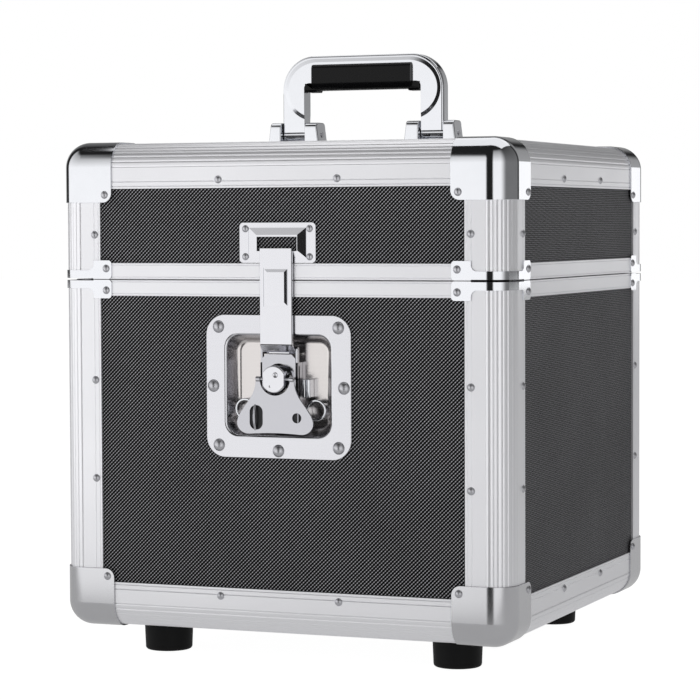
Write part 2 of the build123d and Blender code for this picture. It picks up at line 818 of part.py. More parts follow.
# Wing: the butterfly handle that folds flat over the recess
wing_plane = front_plane(-wing_behind)
wing_back_z = rotor_z - wing_drop
wing_corner_middle = wing_corner * arc_share
with BuildPart() as latch_wing:
    with BuildSketch(wing_plane):
        with BuildLine():
            Line((-wing_shoulder, rotor_z), (-wing_waist, rotor_z - wing_waist_drop))
            Spline(
                (-wing_waist, rotor_z - wing_waist_drop),
                (-wing_half_width + wing_flare, rotor_z - wing_flare_drop),
                (-wing_half_width, rotor_z - wing_corner_drop),
                tangents=((-wing_waist_slope, -1), (-wing_side_slope, -1)),
            )
            ThreePointArc(
                (-wing_half_width, rotor_z - wing_corner_drop),
                (-wing_half_width + wing_corner_middle, wing_back_z + wing_corner_middle),
                (-wing_half_width + wing_corner, wing_back_z),
            )
            Line((-wing_half_width + wing_corner, wing_back_z), (0, wing_back_z + wing_bottom_bow))
            Line((0, wing_back_z + wing_bottom_bow), (0, rotor_z))
            Line((0, rotor_z), (-wing_shoulder, rotor_z))
        make_face()
        mirror(about=Plane.YZ)
        with Locations((0, rotor_z)):
            Circle(wing_window, mode=Mode.SUBTRACT)
        with Locations((wing_hole_x, rotor_z - wing_hole_drop)):
            Circle(wing_hole_radius, mode=Mode.SUBTRACT)
        with Locations((-wing_slot_x, rotor_z - wing_hole_drop)):
            SlotOverall(wing_slot_height, wing_slot_width, rotation=90, mode=Mode.SUBTRACT)
    extrude(amount=wing_sheet)
    with BuildSketch(Plane.YZ.offset(-wing_slot_x)):
        with BuildLine():
            eye_y = -half_depth - wing_behind - wing_sheet / 2
            eye_low = rotor_z - wing_hole_drop - wing_slot_height / 2 - eye_sheet
            eye_high = rotor_z - wing_hole_drop + wing_slot_height / 2 + eye_sheet
            eye_middle = (eye_y - eye_bow, (eye_low + eye_high) / 2)
            eye_arc = ThreePointArc((eye_y, eye_low), eye_middle, (eye_y, eye_high))
            offset(eye_arc, eye_sheet / 2, side=Side.BOTH)
        make_face()
    extrude(amount=eye_width / 2, both=True)
    for side in (-1, 1):
        knuckle_x = side * (wing_knuckle_inner + wing_knuckle_length / 2)
        with BuildSketch(Plane.YZ.offset(knuckle_x)):
            with Locations((-half_depth - wing_pin_front, rotor_z)):
                Circle(wing_knuckle_radius)
        extrude(amount=wing_knuckle_length / 2, both=True)
    with BuildSketch(Plane.YZ):
        with Locations((-half_depth - wing_pin_front, rotor_z)):
            Circle(wing_pin_radius + running_fit)
    extrude(amount=2 * wing_half_width, both=True, mode=Mode.SUBTRACT)
finish(latch_wing, "latch_wing")

# Hook plate: a front plate and a yoke joined by side flanges, with the strap's knuckles on top
hook_top = rotor_z + hook_top_rise
hook_bottom = rotor_z - hook_bottom_drop
hook_height = hook_top - hook_bottom
hook_flange_height = hook_height - 2 * hook_chamfer
with BuildPart() as hook_plate:
    with BuildSketch(front_plane(-hook_front)) as hook_face:
        with Locations((0, hook_bottom)):
            Rectangle(2 * hook_top_half_width, hook_height, align=(Align.CENTER, Align.MIN))
        chamfer(hook_face.vertices().group_by(Axis.Y)[-1], hook_chamfer)
        with Locations((0, hook_bottom)):
            Rectangle(2 * hook_half_width, hook_flange_height, align=(Align.CENTER, Align.MIN))
        with Locations((0, rotor_z - hook_lift / 2)):
            SlotOverall(
                2 * hook_window_radius + hook_lift, 2 * hook_window_radius, rotation=90, mode=Mode.SUBTRACT
            )
    extrude(amount=-hook_sheet)
    for side in (-1, 1):
        with BuildSketch(Plane.YZ.offset(side * hook_half_width)):
            with Locations((-half_depth - hook_front, hook_bottom)):
                Rectangle(
                    dish_floor - end_float + hook_front, hook_flange_height, align=(Align.MIN, Align.MIN)
                )
            with Locations((strap_pin_y, strap_pin_z)):
                Circle(strap_knuckle_radius)
                Rectangle(2 * strap_knuckle_radius, strap_pin_z - rotor_z, align=(Align.CENTER, Align.MAX))
        extrude(amount=-side * hook_sheet)
        with BuildSketch(Plane.YZ.offset(side * (strap_knuckle_half + knuckle_gap))):
            with Locations((strap_pin_y, strap_pin_z)):
                Circle(strap_knuckle_radius)
        extrude(amount=side * (hook_half_width - hook_sheet / 2 - strap_knuckle_half - knuckle_gap))
    with BuildSketch(front_plane(cam_middle_depth)):
        with Locations((0, rotor_z - cam_throw)):
            Rectangle(2 * hook_half_width, yoke_height)
            Rectangle(
                2 * (cam_radius + cam_throw + cam_side_gap), 2 * (cam_radius + cam_play), mode=Mode.SUBTRACT
            )
    extrude(amount=yoke_sheet / 2, both=True)
    with BuildSketch(Plane.YZ):
        with Locations((strap_pin_y, strap_pin_z)):
            Circle(strap_pin_radius)
    extrude(amount=case_width, both=True, mode=Mode.SUBTRACT)
finish(hook_plate, "hook_plate")

with BuildPart() as strap_pin:
    with BuildSketch(Plane.YZ):
        with Locations((strap_pin_y, strap_pin_z)):
            Circle(strap_pin_radius)
    extrude(amount=hook_half_width, both=True)
finish(strap_pin, "strap_pin")

# Strap: the long tongue whose lip hooks behind the keeper's lower bar
strap_back_y = -half_depth - strap_behind
strap_front_y = strap_back_y - strap_sheet
keeper_bar_back = -half_depth - keeper_front + keeper_sheet
lip_low = keeper_window_bottom + lip_gap
lip_high = lip_low + lip_sheet
lip_hook_y = keeper_bar_back + lip_gap
shelf_step = strap_shelf_sheet * 0.5 ** 0.5
shelf_end_y = strap_front_y + strap_shelf
shelf_end_z = strap_bottom - strap_shelf
pin_to_shelf = (strap_pin_y - strap_front_y + strap_pin_z - strap_bottom) * 0.5 ** 0.5
barrel_web = pin_to_shelf - strap_shelf_sheet / 2
with BuildPart() as latch_strap:
    with BuildSketch(Plane.YZ):
        with BuildLine():
            Polyline(
                (strap_front_y, strap_bottom),
                (strap_front_y, lip_high),
                (lip_hook_y + lip_hook, lip_high),
                (lip_hook_y + lip_hook, lip_low - lip_hook_drop),
                (lip_hook_y, lip_low - lip_hook_drop),
                (lip_hook_y, lip_low),
                (strap_back_y, lip_low),
                (strap_back_y, strap_bottom),
                close=True,
            )
        make_face()
    extrude(amount=lip_half_width, both=True)
    with BuildSketch(front_plane(-strap_behind)):
        with Locations((0, strap_bottom)):
            Rectangle(2 * strap_half_width, lip_high - strap_bottom, align=(Align.CENTER, Align.MIN))
    extrude(amount=strap_sheet)
    with BuildSketch(Plane.YZ):
        with BuildLine():
            Polyline(
                (strap_front_y, strap_bottom),
                (shelf_end_y, shelf_end_z),
                (shelf_end_y + shelf_step, shelf_end_z + shelf_step),
                (strap_back_y, strap_bottom + 2 * shelf_step - strap_sheet),
                (strap_back_y, strap_bottom + strap_sheet),
                (strap_front_y, strap_bottom + strap_sheet),
                close=True,
            )
        make_face()
    extrude(amount=strap_half_width, both=True)
    with BuildSketch(Plane.YZ):
        with Locations((strap_pin_y, strap_pin_z)):
            Circle(strap_knuckle_radius)
        with Locations((strap_pin_y - barrel_web * 0.5 ** 1.5, strap_pin_z - barrel_web * 0.5 ** 1.5)):
            Rectangle(barrel_web, 2 * strap_knuckle_radius, rotation=45)
    extrude(amount=strap_knuckle_half, both=True)
    with BuildSketch(front_plane(-strap_behind - strap_sheet)):
        with Locations((0, split_z - strap_pad_rise)):
            RectangleRounded(strap_pad_width, strap_pad_height, strap_pad_relief)
    extrude(amount=strap_pad_relief, taper=strap_pad_taper)
    with BuildSketch(Plane.YZ):
        with Locations((strap_pin_y, strap_pin_z)):
            Circle(strap_pin_radius + running_fit)
    extrude(amount=case_width, both=True, mode=Mode.SUBTRACT)
finish(latch_strap, "latch_strap")

# Keeper: a plate with a raised hollow frame around its window
with BuildPart() as latch_keeper:
    with BuildSketch(front_plane(skin)):
        with Locations((0, keeper_z)):
            RectangleRounded(keeper_width, keeper_height, keeper_corner)
    extrude(amount=keeper_sheet)
    for width, height, near, far, mode in (
        (keeper_frame_width, keeper_frame_height, keeper_seat, -keeper_front, Mode.ADD),
        (keeper_frame_width - 2 * keeper_sheet, keeper_frame_height - 2 * keeper_sheet,
         skin, -keeper_front + keeper_sheet, Mode.SUBTRACT),
    ):
        with BuildSketch(front_plane(near)):
            with Locations((0, keeper_z)):
                Rectangle(width, height)
        with BuildSketch(front_plane(far)):
            with Locations((0, keeper_z)):
                Rectangle(width - 2 * keeper_frame_slope, height - 2 * keeper_frame_slope)
        loft(mode=mode)
    with BuildSketch(front_plane(skin)):
        with Locations((0, keeper_window_bottom)):
            Rectangle(keeper_window_width, keeper_window_height, align=(Align.CENTER, Align.MIN))
    extrude(amount=2 * keeper_frame_width, mode=Mode.SUBTRACT)
    add(lid_drill.part, mode=Mode.SUBTRACT)
finish(latch_keeper, "latch_keeper")

# Handle brackets, pins and screws
bracket_z = body_top - skin
ears = (
    (bracket_outer - 2 * bracket_ear_edge - ear_outer_wall / 2, ear_outer_wall),
    (bracket_inner + 2 * bracket_ear_edge + ear_inner_wall / 2, ear_inner_wall),
)
with BuildPart() as handle_brackets:
    with BuildSketch(Plane.XY.offset(bracket_z)):
        with Locations((bracket_x, 0)):
            RectangleRounded(bracket_outer - bracket_inner, bracket_depth, bracket_corner)
    extrude(amount=bracket_plate)
    for middle, ear_wall in ears:
        with BuildSketch(Plane.YZ.offset(middle)):
            with Locations((0, handle_pin_z)):
                Circle(ear_rise)
            with Locations((0, bracket_z)):
                Rectangle(2 * ear_rise, handle_pin_z - bracket_z, align=(Align.CENTER, Align.MIN))
        extrude(amount=ear_wall / 2, both=True)
    mirror(about=Plane.YZ)
    with BuildSketch(Plane.YZ):
        with Locations((0, handle_pin_z)):
            Circle(handle_pin_radius)
    extrude(amount=case_width, both=True, mode=Mode.SUBTRACT)
    with Locations(*[(x, y, bracket_z + bracket_plate) for x, y in bracket_screw_spots]):
        CounterSinkHole(
            bracket_screw_radius + rivet_fit,
            bracket_screw_head + screw_head_sink,
            bracket_plate,
            screw_head_angle,
        )
finish(handle_brackets, "handle_brackets")

pin_outer = bracket_outer - bracket_ear_edge
pin_inner = bracket_inner + bracket_ear_edge
with BuildPart() as handle_pins:
    with BuildSketch(Plane.YZ.offset(pin_inner)):
        with Locations((0, handle_pin_z)):
            Circle(handle_pin_radius)
    extrude(amount=pin_outer - pin_inner)
    mirror(about=Plane.YZ)
finish(handle_pins, "handle_pins")

screw_top = bracket_z + bracket_plate - screw_head_sink
with BuildPart() as bracket_screw:
    with BuildSketch(Plane.XZ):
        with BuildLine():
            Polyline(
                (0, screw_top),
                (bracket_screw_head, screw_top),
                (bracket_screw_radius, screw_top - bracket_screw_head + bracket_screw_radius),
                (bracket_screw_radius, bracket_z - board),
                (0, bracket_z - board),
                close=True,
            )
        make_face()
    revolve(axis=Axis.Z)
    with Locations((0, 0, bracket_z - board)):
        Cylinder(bracket_nut_radius, bracket_nut_height, align=(Align.CENTER, Align.CENTER, Align.MAX))
with BuildPart() as bracket_screws:
    with Locations(*bracket_screw_spots):
        add(bracket_screw.part)
finish(bracket_screws, "bracket_screws")

# Handle: a chrome bow with a moulded grip under its top bar
handle_top = handle_pin_z + handle_rise
leg_bottom = handle_pin_z + handle_foot_rise
grip_top = handle_top - handle_bar
grip_bottom = grip_top - grip_height
knuckle_inner = bracket_inner + 2 * bracket_ear_edge + ear_inner_wall + handle_side_gap
knuckle_outer = bracket_outer - 2 * bracket_ear_edge - ear_outer_wall - handle_side_gap
leg_inner = knuckle_outer - handle_leg_width
leg_middle = knuckle_outer - handle_leg_width / 2
with BuildPart() as handle_frame:
    with BuildSketch(Plane.XZ) as bow:
        with Locations((0, leg_bottom)):
            Rectangle(2 * knuckle_outer, handle_top - leg_bottom, align=(Align.CENTER, Align.MIN))
        fillet(bow.vertices().group_by(Axis.Y)[-1], handle_corner)
        with Locations((0, leg_bottom)):
            Rectangle(
                2 * leg_inner, grip_bottom + cheek_drop / 2 - leg_bottom,
                align=(Align.CENTER, Align.MIN), mode=Mode.SUBTRACT,
            )
        with Locations((0, leg_bottom)):
            Rectangle(
                2 * grip_half_width, grip_top - leg_bottom,
                align=(Align.CENTER, Align.MIN), mode=Mode.SUBTRACT,
            )
    extrude(amount=handle_depth / 2, both=True)
    face_edges = handle_frame.edges().filter_by(lambda e: abs(abs(e.center().Y) - handle_depth / 2) < tiny)
    outer_edges = face_edges.filter_by(
        lambda e: e.center().Z > grip_top + tiny or abs(e.center().X) > leg_middle
    )
    chamfer(outer_edges, handle_edge)
    with BuildSketch(Plane.YZ.offset(knuckle_inner)):
        with Locations((0, handle_pin_z)):
            Circle(handle_knuckle_radius)
    extrude(amount=knuckle_outer - knuckle_inner)
    mirror(about=Plane.YZ)
    with BuildSketch(Plane.YZ):
        with Locations((0, handle_pin_z)):
            Circle(handle_pin_radius + running_fit)
    extrude(amount=case_width, both=True, mode=Mode.SUBTRACT)
finish(handle_frame, "handle_frame")

with BuildPart() as handle_grip:
    with BuildSketch(Plane.YZ):
        with Locations((0, grip_bottom)):
            Rectangle(grip_depth, grip_height, align=(Align.CENTER, Align.MIN))
    extrude(amount=grip_half_width, both=True)
    fillet(handle_grip.edges().filter_by(Axis.X).group_by(Axis.Z)[0], grip_corner)
    fillet(handle_grip.edges().filter_by(Axis.X).group_by(Axis.Z)[-1], (grip_depth - handle_depth) / 2)
finish(handle_grip, "handle_grip")

# Butt hinges across the split at the back
hinge_y = half_depth + hinge_stand_off
knuckle_pitch = hinge_width / hinge_knuckles
hinge_sides = (("hinge_base_leaves", -1, 0, base_drill), ("hinge_lid_leaves", 1, 1, lid_drill))
for name, leaf_side, first, drill in hinge_sides:
    with BuildPart() as leaves:
        for hinge_side in (-1, 1):
            with BuildSketch(Plane.YZ.offset(hinge_side * hinge_x)):
                with Locations((half_depth, split_z + leaf_side * hinge_clear)):
                    Rectangle(
                        hinge_sheet, hinge_leaf - hinge_clear,
                        align=(Align.MIN, Align.MIN if leaf_side > 0 else Align.MAX),
                    )
            extrude(amount=hinge_width / 2, both=True)
            for index in range(first, hinge_knuckles, 2):
                knuckle_x = hinge_side * hinge_x - hinge_width / 2 + (index + 0.5) * knuckle_pitch
                with BuildSketch(Plane.YZ.offset(knuckle_x)):
                    with Locations((hinge_y, split_z)):
                        Circle(hinge_knuckle_radius)
                    with Locations((half_depth + hinge_stand_off - hinge_knuckle_radius, split_z)):
                        Rectangle(
                            hinge_sheet - (hinge_stand_off - hinge_knuckle_radius), hinge_clear + hinge_sheet,
                            align=(Align.MIN, Align.MIN if leaf_side > 0 else Align.MAX),
                        )
                extrude(amount=(knuckle_pitch - knuckle_gap) / 2, both=True)
        with BuildSketch(Plane.YZ):
            with Locations((hinge_y, split_z)):
                Circle(hinge_pin_radius + (running_fit if leaf_side > 0 else 0))
        extrude(amount=case_width, both=True, mode=Mode.SUBTRACT)
        add(drill.part, mode=Mode.SUBTRACT)
    finish(leaves, name)

with BuildPart() as hinge_pins:
    with BuildSketch(Plane.YZ.offset(hinge_x - hinge_width / 2)):
        with Locations((hinge_y, split_z)):
            Circle(hinge_pin_radius)
    extrude(amount=hinge_width)
    mirror(about=Plane.YZ)
finish(hinge_pins, "hinge_pins")
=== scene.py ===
import json
import math
import bpy
import bmesh
from mathutils import Matrix, Vector


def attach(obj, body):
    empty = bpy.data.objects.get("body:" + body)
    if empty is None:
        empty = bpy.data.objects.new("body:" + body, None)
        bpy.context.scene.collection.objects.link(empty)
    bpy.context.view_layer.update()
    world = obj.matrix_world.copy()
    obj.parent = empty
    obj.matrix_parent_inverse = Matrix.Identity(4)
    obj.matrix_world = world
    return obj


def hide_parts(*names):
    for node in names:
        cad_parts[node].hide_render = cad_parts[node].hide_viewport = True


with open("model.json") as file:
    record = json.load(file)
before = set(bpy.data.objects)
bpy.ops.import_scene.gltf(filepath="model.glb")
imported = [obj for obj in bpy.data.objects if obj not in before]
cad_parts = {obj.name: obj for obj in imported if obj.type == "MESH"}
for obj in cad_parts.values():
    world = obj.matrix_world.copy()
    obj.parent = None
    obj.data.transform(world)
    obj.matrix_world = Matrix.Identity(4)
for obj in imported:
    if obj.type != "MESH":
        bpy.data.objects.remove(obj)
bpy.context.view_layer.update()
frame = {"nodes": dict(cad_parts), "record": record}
slots = {part["node"]: part["material_slot"] for part in frame["record"]["subparts"]}
print("frame loaded,", len(frame["nodes"]), "nodes")


class Settings(dict):
    # a dictionary whose values can also be read as attributes
    __getattr__ = dict.__getitem__


# Pieces are modelled in millimetres and brought to metres as the last step.
mm = 0.001
case = Settings(
    halfWidth=180.0, halfDepth=176.0, bottom=24.0, top=390.0, split=287.7, baseTop=287.4, lidBottom=288.0,
    leg=34.2, round=18.0, wall=10.0,
)


def deselect():
    if bpy.context.object and bpy.context.object.mode != "OBJECT":
        bpy.ops.object.mode_set(mode="OBJECT")
    bpy.ops.object.select_all(action="DESELECT")


def only(piece):
    deselect()
    piece.select_set(True)
    bpy.context.view_layer.objects.active = piece


def added(name, shape, scale=(1, 1, 1), **settings):
    # a simple new mesh, with its place, turn and scale taken into its points
    deselect()
    getattr(bpy.ops.mesh, f"primitive_{shape}_add")(**settings)
    piece = bpy.context.object
    piece.name = name
    piece.scale = scale
    bpy.ops.object.transform_apply(location=True, rotation=True, scale=True)
    return piece


def block(name, low, high):
    # a box between two corners
    low, high = Vector(low), Vector(high)
    return added(name, "cube", high - low, size=1, location=(low + high) / 2)


def slab(name, half, near, far, low, high):
    # a box that reaches equally far to the left and to the right
    return block(name, (-half, near, low), (half, far, high))


def span(side, inner, outer):
    # two distances from the middle, on the left (-1) or the right (1), the lower one first
    return sorted((side * inner, side * outer))


turns = {"x": (0, math.pi / 2, 0), "y": (math.pi / 2, 0, 0), "z": (0, 0, 0)}


def rod(name, centre, axis, radius, length, sides, farRadius=None):
    # a cylinder or cone around one axis, centred on its place
    return added(
        name, "cone", vertices=sides, radius1=radius, radius2=farRadius or radius, depth=length,
        location=centre, rotation=turns[axis],
    )


def rodBetween(name, axis, low, high, across, radius, sides):
    # a cylinder between two places on its axis; across holds its other two coordinates
    centre = list(across)
    centre.insert("xyz".index(axis), (low + high) / 2)
    return rod(name, centre, axis, radius, high - low, sides)


def pick(piece, kind, test):
    # selects what passes the test and stays in edit mode
    only(piece)
    bpy.ops.object.mode_set(mode="EDIT")
    bpy.ops.mesh.select_mode(type=kind)
    bpy.ops.mesh.select_all(action="DESELECT")
    mesh = bmesh.from_edit_mesh(piece.data)
    found = {"VERT": mesh.verts, "EDGE": mesh.edges, "FACE": mesh.faces}[kind]
    for item in found:
        if test(item):
            item.select_set(True)
    bmesh.update_edit_mesh(piece.data)


def pickAll(piece):
    only(piece)
    bpy.ops.object.mode_set(mode="EDIT")
    bpy.ops.mesh.select_all(action="SELECT")


def leave():
    bpy.ops.object.mode_set(mode="OBJECT")


def middle(item):
    return sum((v.co for v in item.verts), Vector()) / len(item.verts)


def isNear(a, b, slack=0.05):
    return abs(a - b) < slack


def liesAt(item, axis, value):
    return all(isNear(v.co[axis], value) for v in item.verts)


def runsAlong(edge, axis):
    way = edge.verts[1].co - edge.verts[0].co
    return abs(way[axis]) > 0.999 * way.length


def alongY(edge):
    return runsAlong(edge, 1)


def isSharp(edge):
    return edge.calc_face_angle(0) > 0.5


def bevel(piece, test, width, segments, kind="EDGE"):
    # rounds the edges or, with VERT, the corners of an open sheet
    pick(piece, kind, test)
    affect = "EDGES" if kind == "EDGE" else "VERTICES"
    bpy.ops.mesh.bevel(offset=width, offset_type="OFFSET", segments=segments, profile=0.5, affect=affect)
    leave()


def bevelAt(piece, axis, height, width, segments):
    # rounds the edges that run along one axis at one height
    bevel(piece, lambda e: runsAlong(e, axis) and isNear(middle(e).z, height), width, segments)


def shift(piece, test, by):
    pick(piece, "VERT", test)
    bpy.ops.transform.translate(value=by)
    leave()


def stretch(piece, test, factors, centre):
    pick(piece, "VERT", test)
    bpy.ops.transform.resize(value=factors, center_override=centre)
    leave()


def extrude(piece, kind, test, by, factors=None, centre=None):
    # draws out what passes the test, and may stretch its new end
    pick(piece, kind, test)
    bpy.ops.mesh.extrude_region_move(TRANSFORM_OT_translate={"value": by})
    if factors:
        bpy.ops.transform.resize(value=factors, center_override=centre)
    leave()


def split(piece, spot, normal, drop=False):
    # cuts through the whole piece, and may drop what lies beyond the cut
    pickAll(piece)
    bpy.ops.mesh.bisect(plane_co=spot, plane_no=normal, use_fill=drop, clear_outer=drop)
    leave()


def removeFaces(piece, test):
    pick(piece, "FACE", test)
    bpy.ops.mesh.delete(type="FACE")
    leave()


def outwards(piece):
    pickAll(piece)
    bpy.ops.mesh.normals_make_consistent(inside=False)
    leave()


def change(piece, kind, **settings):
    # a modifier that is applied at once
    only(piece)
    modifier = piece.modifiers.new(kind, kind)
    for key, value in settings.items():
        setattr(modifier, key, value)
    bpy.ops.object.modifier_apply(modifier=modifier.name)
    return piece


def combine(piece, others, operation):
    # booleans with other pieces, which are used up
    for other in others:
        change(piece, "BOOLEAN", object=other, operation=operation, solver="EXACT")
        bpy.data.objects.remove(other, do_unlink=True)
    return piece


def cut(piece, *others):
    return combine(piece, others, "DIFFERENCE")


def fuse(piece, *others):
    return combine(piece, others, "UNION")


def thicken(piece, amount):
    return change(piece, "SOLIDIFY", thickness=amount, offset=-1)


def soften(piece, width, segments=2):
    # small rounding on every sharp edge
    return change(
        piece, "BEVEL", width=width, segments=segments, limit_method="ANGLE",
        angle_limit=math.radians(50), use_clamp_overlap=True,
    )


def copyOf(piece, name, matrix):
    only(piece)
    bpy.ops.object.duplicate()
    twin = bpy.context.object
    twin.name = name
    twin.matrix_world = matrix
    bpy.ops.object.transform_apply(location=True, rotation=True, scale=True)
    if matrix.determinant() < 0:
        outwards(twin)
    return twin


def place(origin, xWay, yWay, zWay):
    # a matrix that puts a piece's own axes along these ways
    return Matrix.Translation(origin) @ Matrix((xWay, yWay, zWay)).transposed().to_4x4()


def onFace(piece, name, side, level, up):
    # a copy of a piece that runs along x, on the front (-1) or the back (1)
    origin = (0, side * case.halfDepth, level)
    return copyOf(piece, name, place(origin, (1, 0, 0), (0, -side, 0), (0, 0, up)))


def onSide(piece, name, side, level, up):
    # a copy of a piece that runs along x, on the left (-1) or the right (1)
    origin = (side * case.halfWidth, 0, level)
    return copyOf(piece, name, place(origin, (0, 1, 0), (-side, 0, 0), (0, 0, up)))


def onCorners(piece, level, up):
    # four copies of a corner piece
    copies = []
    for ySide in (-1, 1):
        for xSide in (-1, 1):
            origin = (xSide * case.halfWidth, ySide * case.halfDepth, level)
            copies.append(copyOf(piece, "corner", place(origin, (-xSide, 0, 0), (0, -ySide, 0), (0, 0, up))))
    return copies


def joined(name, parts):
    deselect()
    for part in parts:
        part.select_set(True)
    bpy.context.view_layer.objects.active = parts[0]
    if len(parts) > 1:
        bpy.ops.object.join()
    parts[0].name = name
    return parts[0]


def discard(*parts):
    for part in parts:
        bpy.data.objects.remove(part, do_unlink=True)


def settle(piece, body, finish, node, angle=30, replaces=True):
    # brings a finished piece to metres, gives it its finish and its body, and, when it replaces a node, hides
    # that node
    only(piece)
    piece.scale = (mm, mm, mm)
    bpy.ops.object.transform_apply(location=False, rotation=False, scale=True)
    bpy.ops.object.shade_smooth_by_angle(angle=math.radians(angle))
    # flat faces keep flat shading next to small roundings
    change(piece, "WEIGHTED_NORMAL", keep_sharp=True)
    piece.data.materials.clear()
    piece.data.materials.append(finish)
    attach(piece, body)
    if replaces:
        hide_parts(node)


def sums(operation, turned=False):
    # an operator between a socket and another value, which comes first when it is turned
    return lambda self, other: self.maths(operation, *((other, self) if turned else (self, other)))


class Value:
    # a socket that can be used in sums
    __add__, __radd__ = sums("ADD"), sums("ADD", True)
    __sub__, __rsub__ = sums("SUBTRACT"), sums("SUBTRACT", True)
    __mul__, __rmul__ = sums("MULTIPLY"), sums("MULTIPLY", True)
    __truediv__, __lt__ = sums("DIVIDE"), sums("LESS_THAN")
    most, least, angle = sums("MAXIMUM"), sums("MINIMUM"), sums("ARCTAN2")

    def __init__(self, nodes, socket):
        self.nodes, self.socket = nodes, socket

    def maths(self, operation, *terms):
        return self.nodes.add("ShaderNodeMath", {"operation": operation}, dict(enumerate(terms)))

    def sine(self):
        return self.maths("SINE", self)

    def degrees(self):
        return self * (180 / math.pi)


class Nodes:
    # adds nodes to the tree of a material or of the world
    def __init__(self, tree):
        self.tree = tree

    def add(self, kind, settings, inputs, output=0):
        node = self.tree.nodes.new(kind)
        for key, value in settings.items():
            setattr(node, key, value)
        for key, value in inputs.items():
            self.link(value, node.inputs[key])
        return Value(self, node.outputs[output])

    def link(self, value, socket):
        if isinstance(value, Value):
            self.tree.links.new(value.socket, socket)
        else:
            socket.default_value = value

    def axes(self, vector):
        parts = self.tree.nodes.new("ShaderNodeSeparateXYZ")
        self.link(vector, parts.inputs[0])
        return [Value(self, output) for output in parts.outputs]

    def ramp(self, value, low, high, kind="SMOOTHSTEP"):
        # from 0 at low to 1 at high
        return self.add("ShaderNodeMapRange", {"interpolation_type": kind}, {"Value": value, 1: low, 2: high})

    def isSeenDirectly(self):
        return self.add("ShaderNodeLightPath", {}, {}, "Is Camera Ray")


class Finish(Nodes):
    # a material, built up node by node
    def __init__(self, name, **constants):
        self.material = bpy.data.materials.new(name)
        self.material.use_nodes = True
        super().__init__(self.material.node_tree)
        self.shader = self.tree.nodes["Principled BSDF"]
        self.wear(**constants)

    def where(self, stretched=(1, 1, 1)):
        # object coordinates in millimetres, stretched along the axes
        spot = self.add("ShaderNodeTexCoord", {}, {}, "Object")
        scale = tuple(value / mm for value in stretched)
        return self.add("ShaderNodeMapping", {}, {"Vector": spot, "Scale": scale})

    def noise(self, scale, detail=3, stretched=(1, 1, 1)):
        return self.add(
            "ShaderNodeTexNoise", {}, {"Vector": self.where(stretched), "Scale": scale, "Detail": detail}
        )

    def colours(self, mask, low, high):
        # between two colours, each of them three numbers or a socket
        low, high = (colour if isinstance(colour, Value) else (*colour, 1) for colour in (low, high))
        return self.add("ShaderNodeMix", {"data_type": "RGBA"}, {0: mask, 6: low, 7: high}, 2)

    def bump(self, height, strength, distance):
        inputs = {"Height": height, "Strength": strength, "Distance": distance * mm}
        return self.add("ShaderNodeBump", {}, inputs)

    def wear(self, **links):
        for key, value in links.items():
            self.link(value, self.shader.inputs[key.replace("_", " ")])
        return self.material


alongAxis = {"x": (0.02, 1, 1), "y": (1, 0.02, 1), "z": (1, 1, 0.02)}
brushed = Settings(
    low=(0.912, 0.912, 0.9408), high=(0.95, 0.95, 0.98), rough=0.36, spread=0.06, cloudSpread=0.08,
    cloudGrain=0.02, grain=2.0, strength=0.5, depth=0.0005, metal=0.72,
)


def brushedMetal(name, way):
    # fine lines along one axis in the roughness, the tone and the surface
    satin = Finish(name, Metallic=brushed.metal)
    lines = satin.noise(brushed.grain, 4, alongAxis[way])
    clouds = satin.noise(brushed.cloudGrain, 2)
    rough = brushed.rough - brushed.spread / 2 + brushed.spread * lines
    return satin.wear(
        Base_Color=satin.colours(lines, brushed.low, brushed.high),
        Roughness=rough + brushed.cloudSpread * (clouds - 0.5),
        Normal=satin.bump(lines, brushed.strength, brushed.depth),
    )


def smoothMetal(name, colour, rough, spread, grain):
    # polished or plated metal with faint smudges
    metal = Finish(name, Metallic=1.0)
    clouds = metal.noise(grain, 3)
    return metal.wear(
        Base_Color=metal.colours(clouds, [value * 0.95 for value in colour], colour),
        Roughness=rough + spread * (clouds - 0.5),
    )


satinX = brushedMetal("satin aluminium across", "x")
satinY = brushedMetal("satin aluminium front to back", "y")
satinZ = brushedMetal("satin aluminium upright", "z")
chrome = smoothMetal("polished chrome", (0.72, 0.73, 0.76), rough=0.085, spread=0.03, grain=0.15)
satinCap = smoothMetal("satin nickel cap", (0.60, 0.60, 0.62), rough=0.17, spread=0.05, grain=0.15)
plated = smoothMetal("bright zinc plate", (0.66, 0.66, 0.69), rough=0.13, spread=0.04, grain=0.08)
platedGrey = smoothMetal("grey zinc plate", (0.49, 0.49, 0.52), rough=0.15, spread=0.04, grain=0.08)
platedDark = smoothMetal("zinc plate on rivets", (0.56, 0.56, 0.59), rough=0.34, spread=0.08, grain=0.25)
# black for the cups behind the wing: painted shade
paintedShadeBlack = smoothMetal("blackened steel", (0.05, 0.05, 0.052), rough=0.42, spread=0.1, grain=0.3)

weave = Settings(
    pitch=2.94, lean=1.03, second=0.32, gap=0.53, peak=1.0, strength=0.8, depth=0.10,
    black=(0.0022, 0.0022, 0.0026), grey=(0.58, 0.58, 0.61), cloudGrain=0.012, cloudLow=0.8,
    cloudSpread=0.4, rough=0.48, roughRise=0.15, shine=0.12,
)


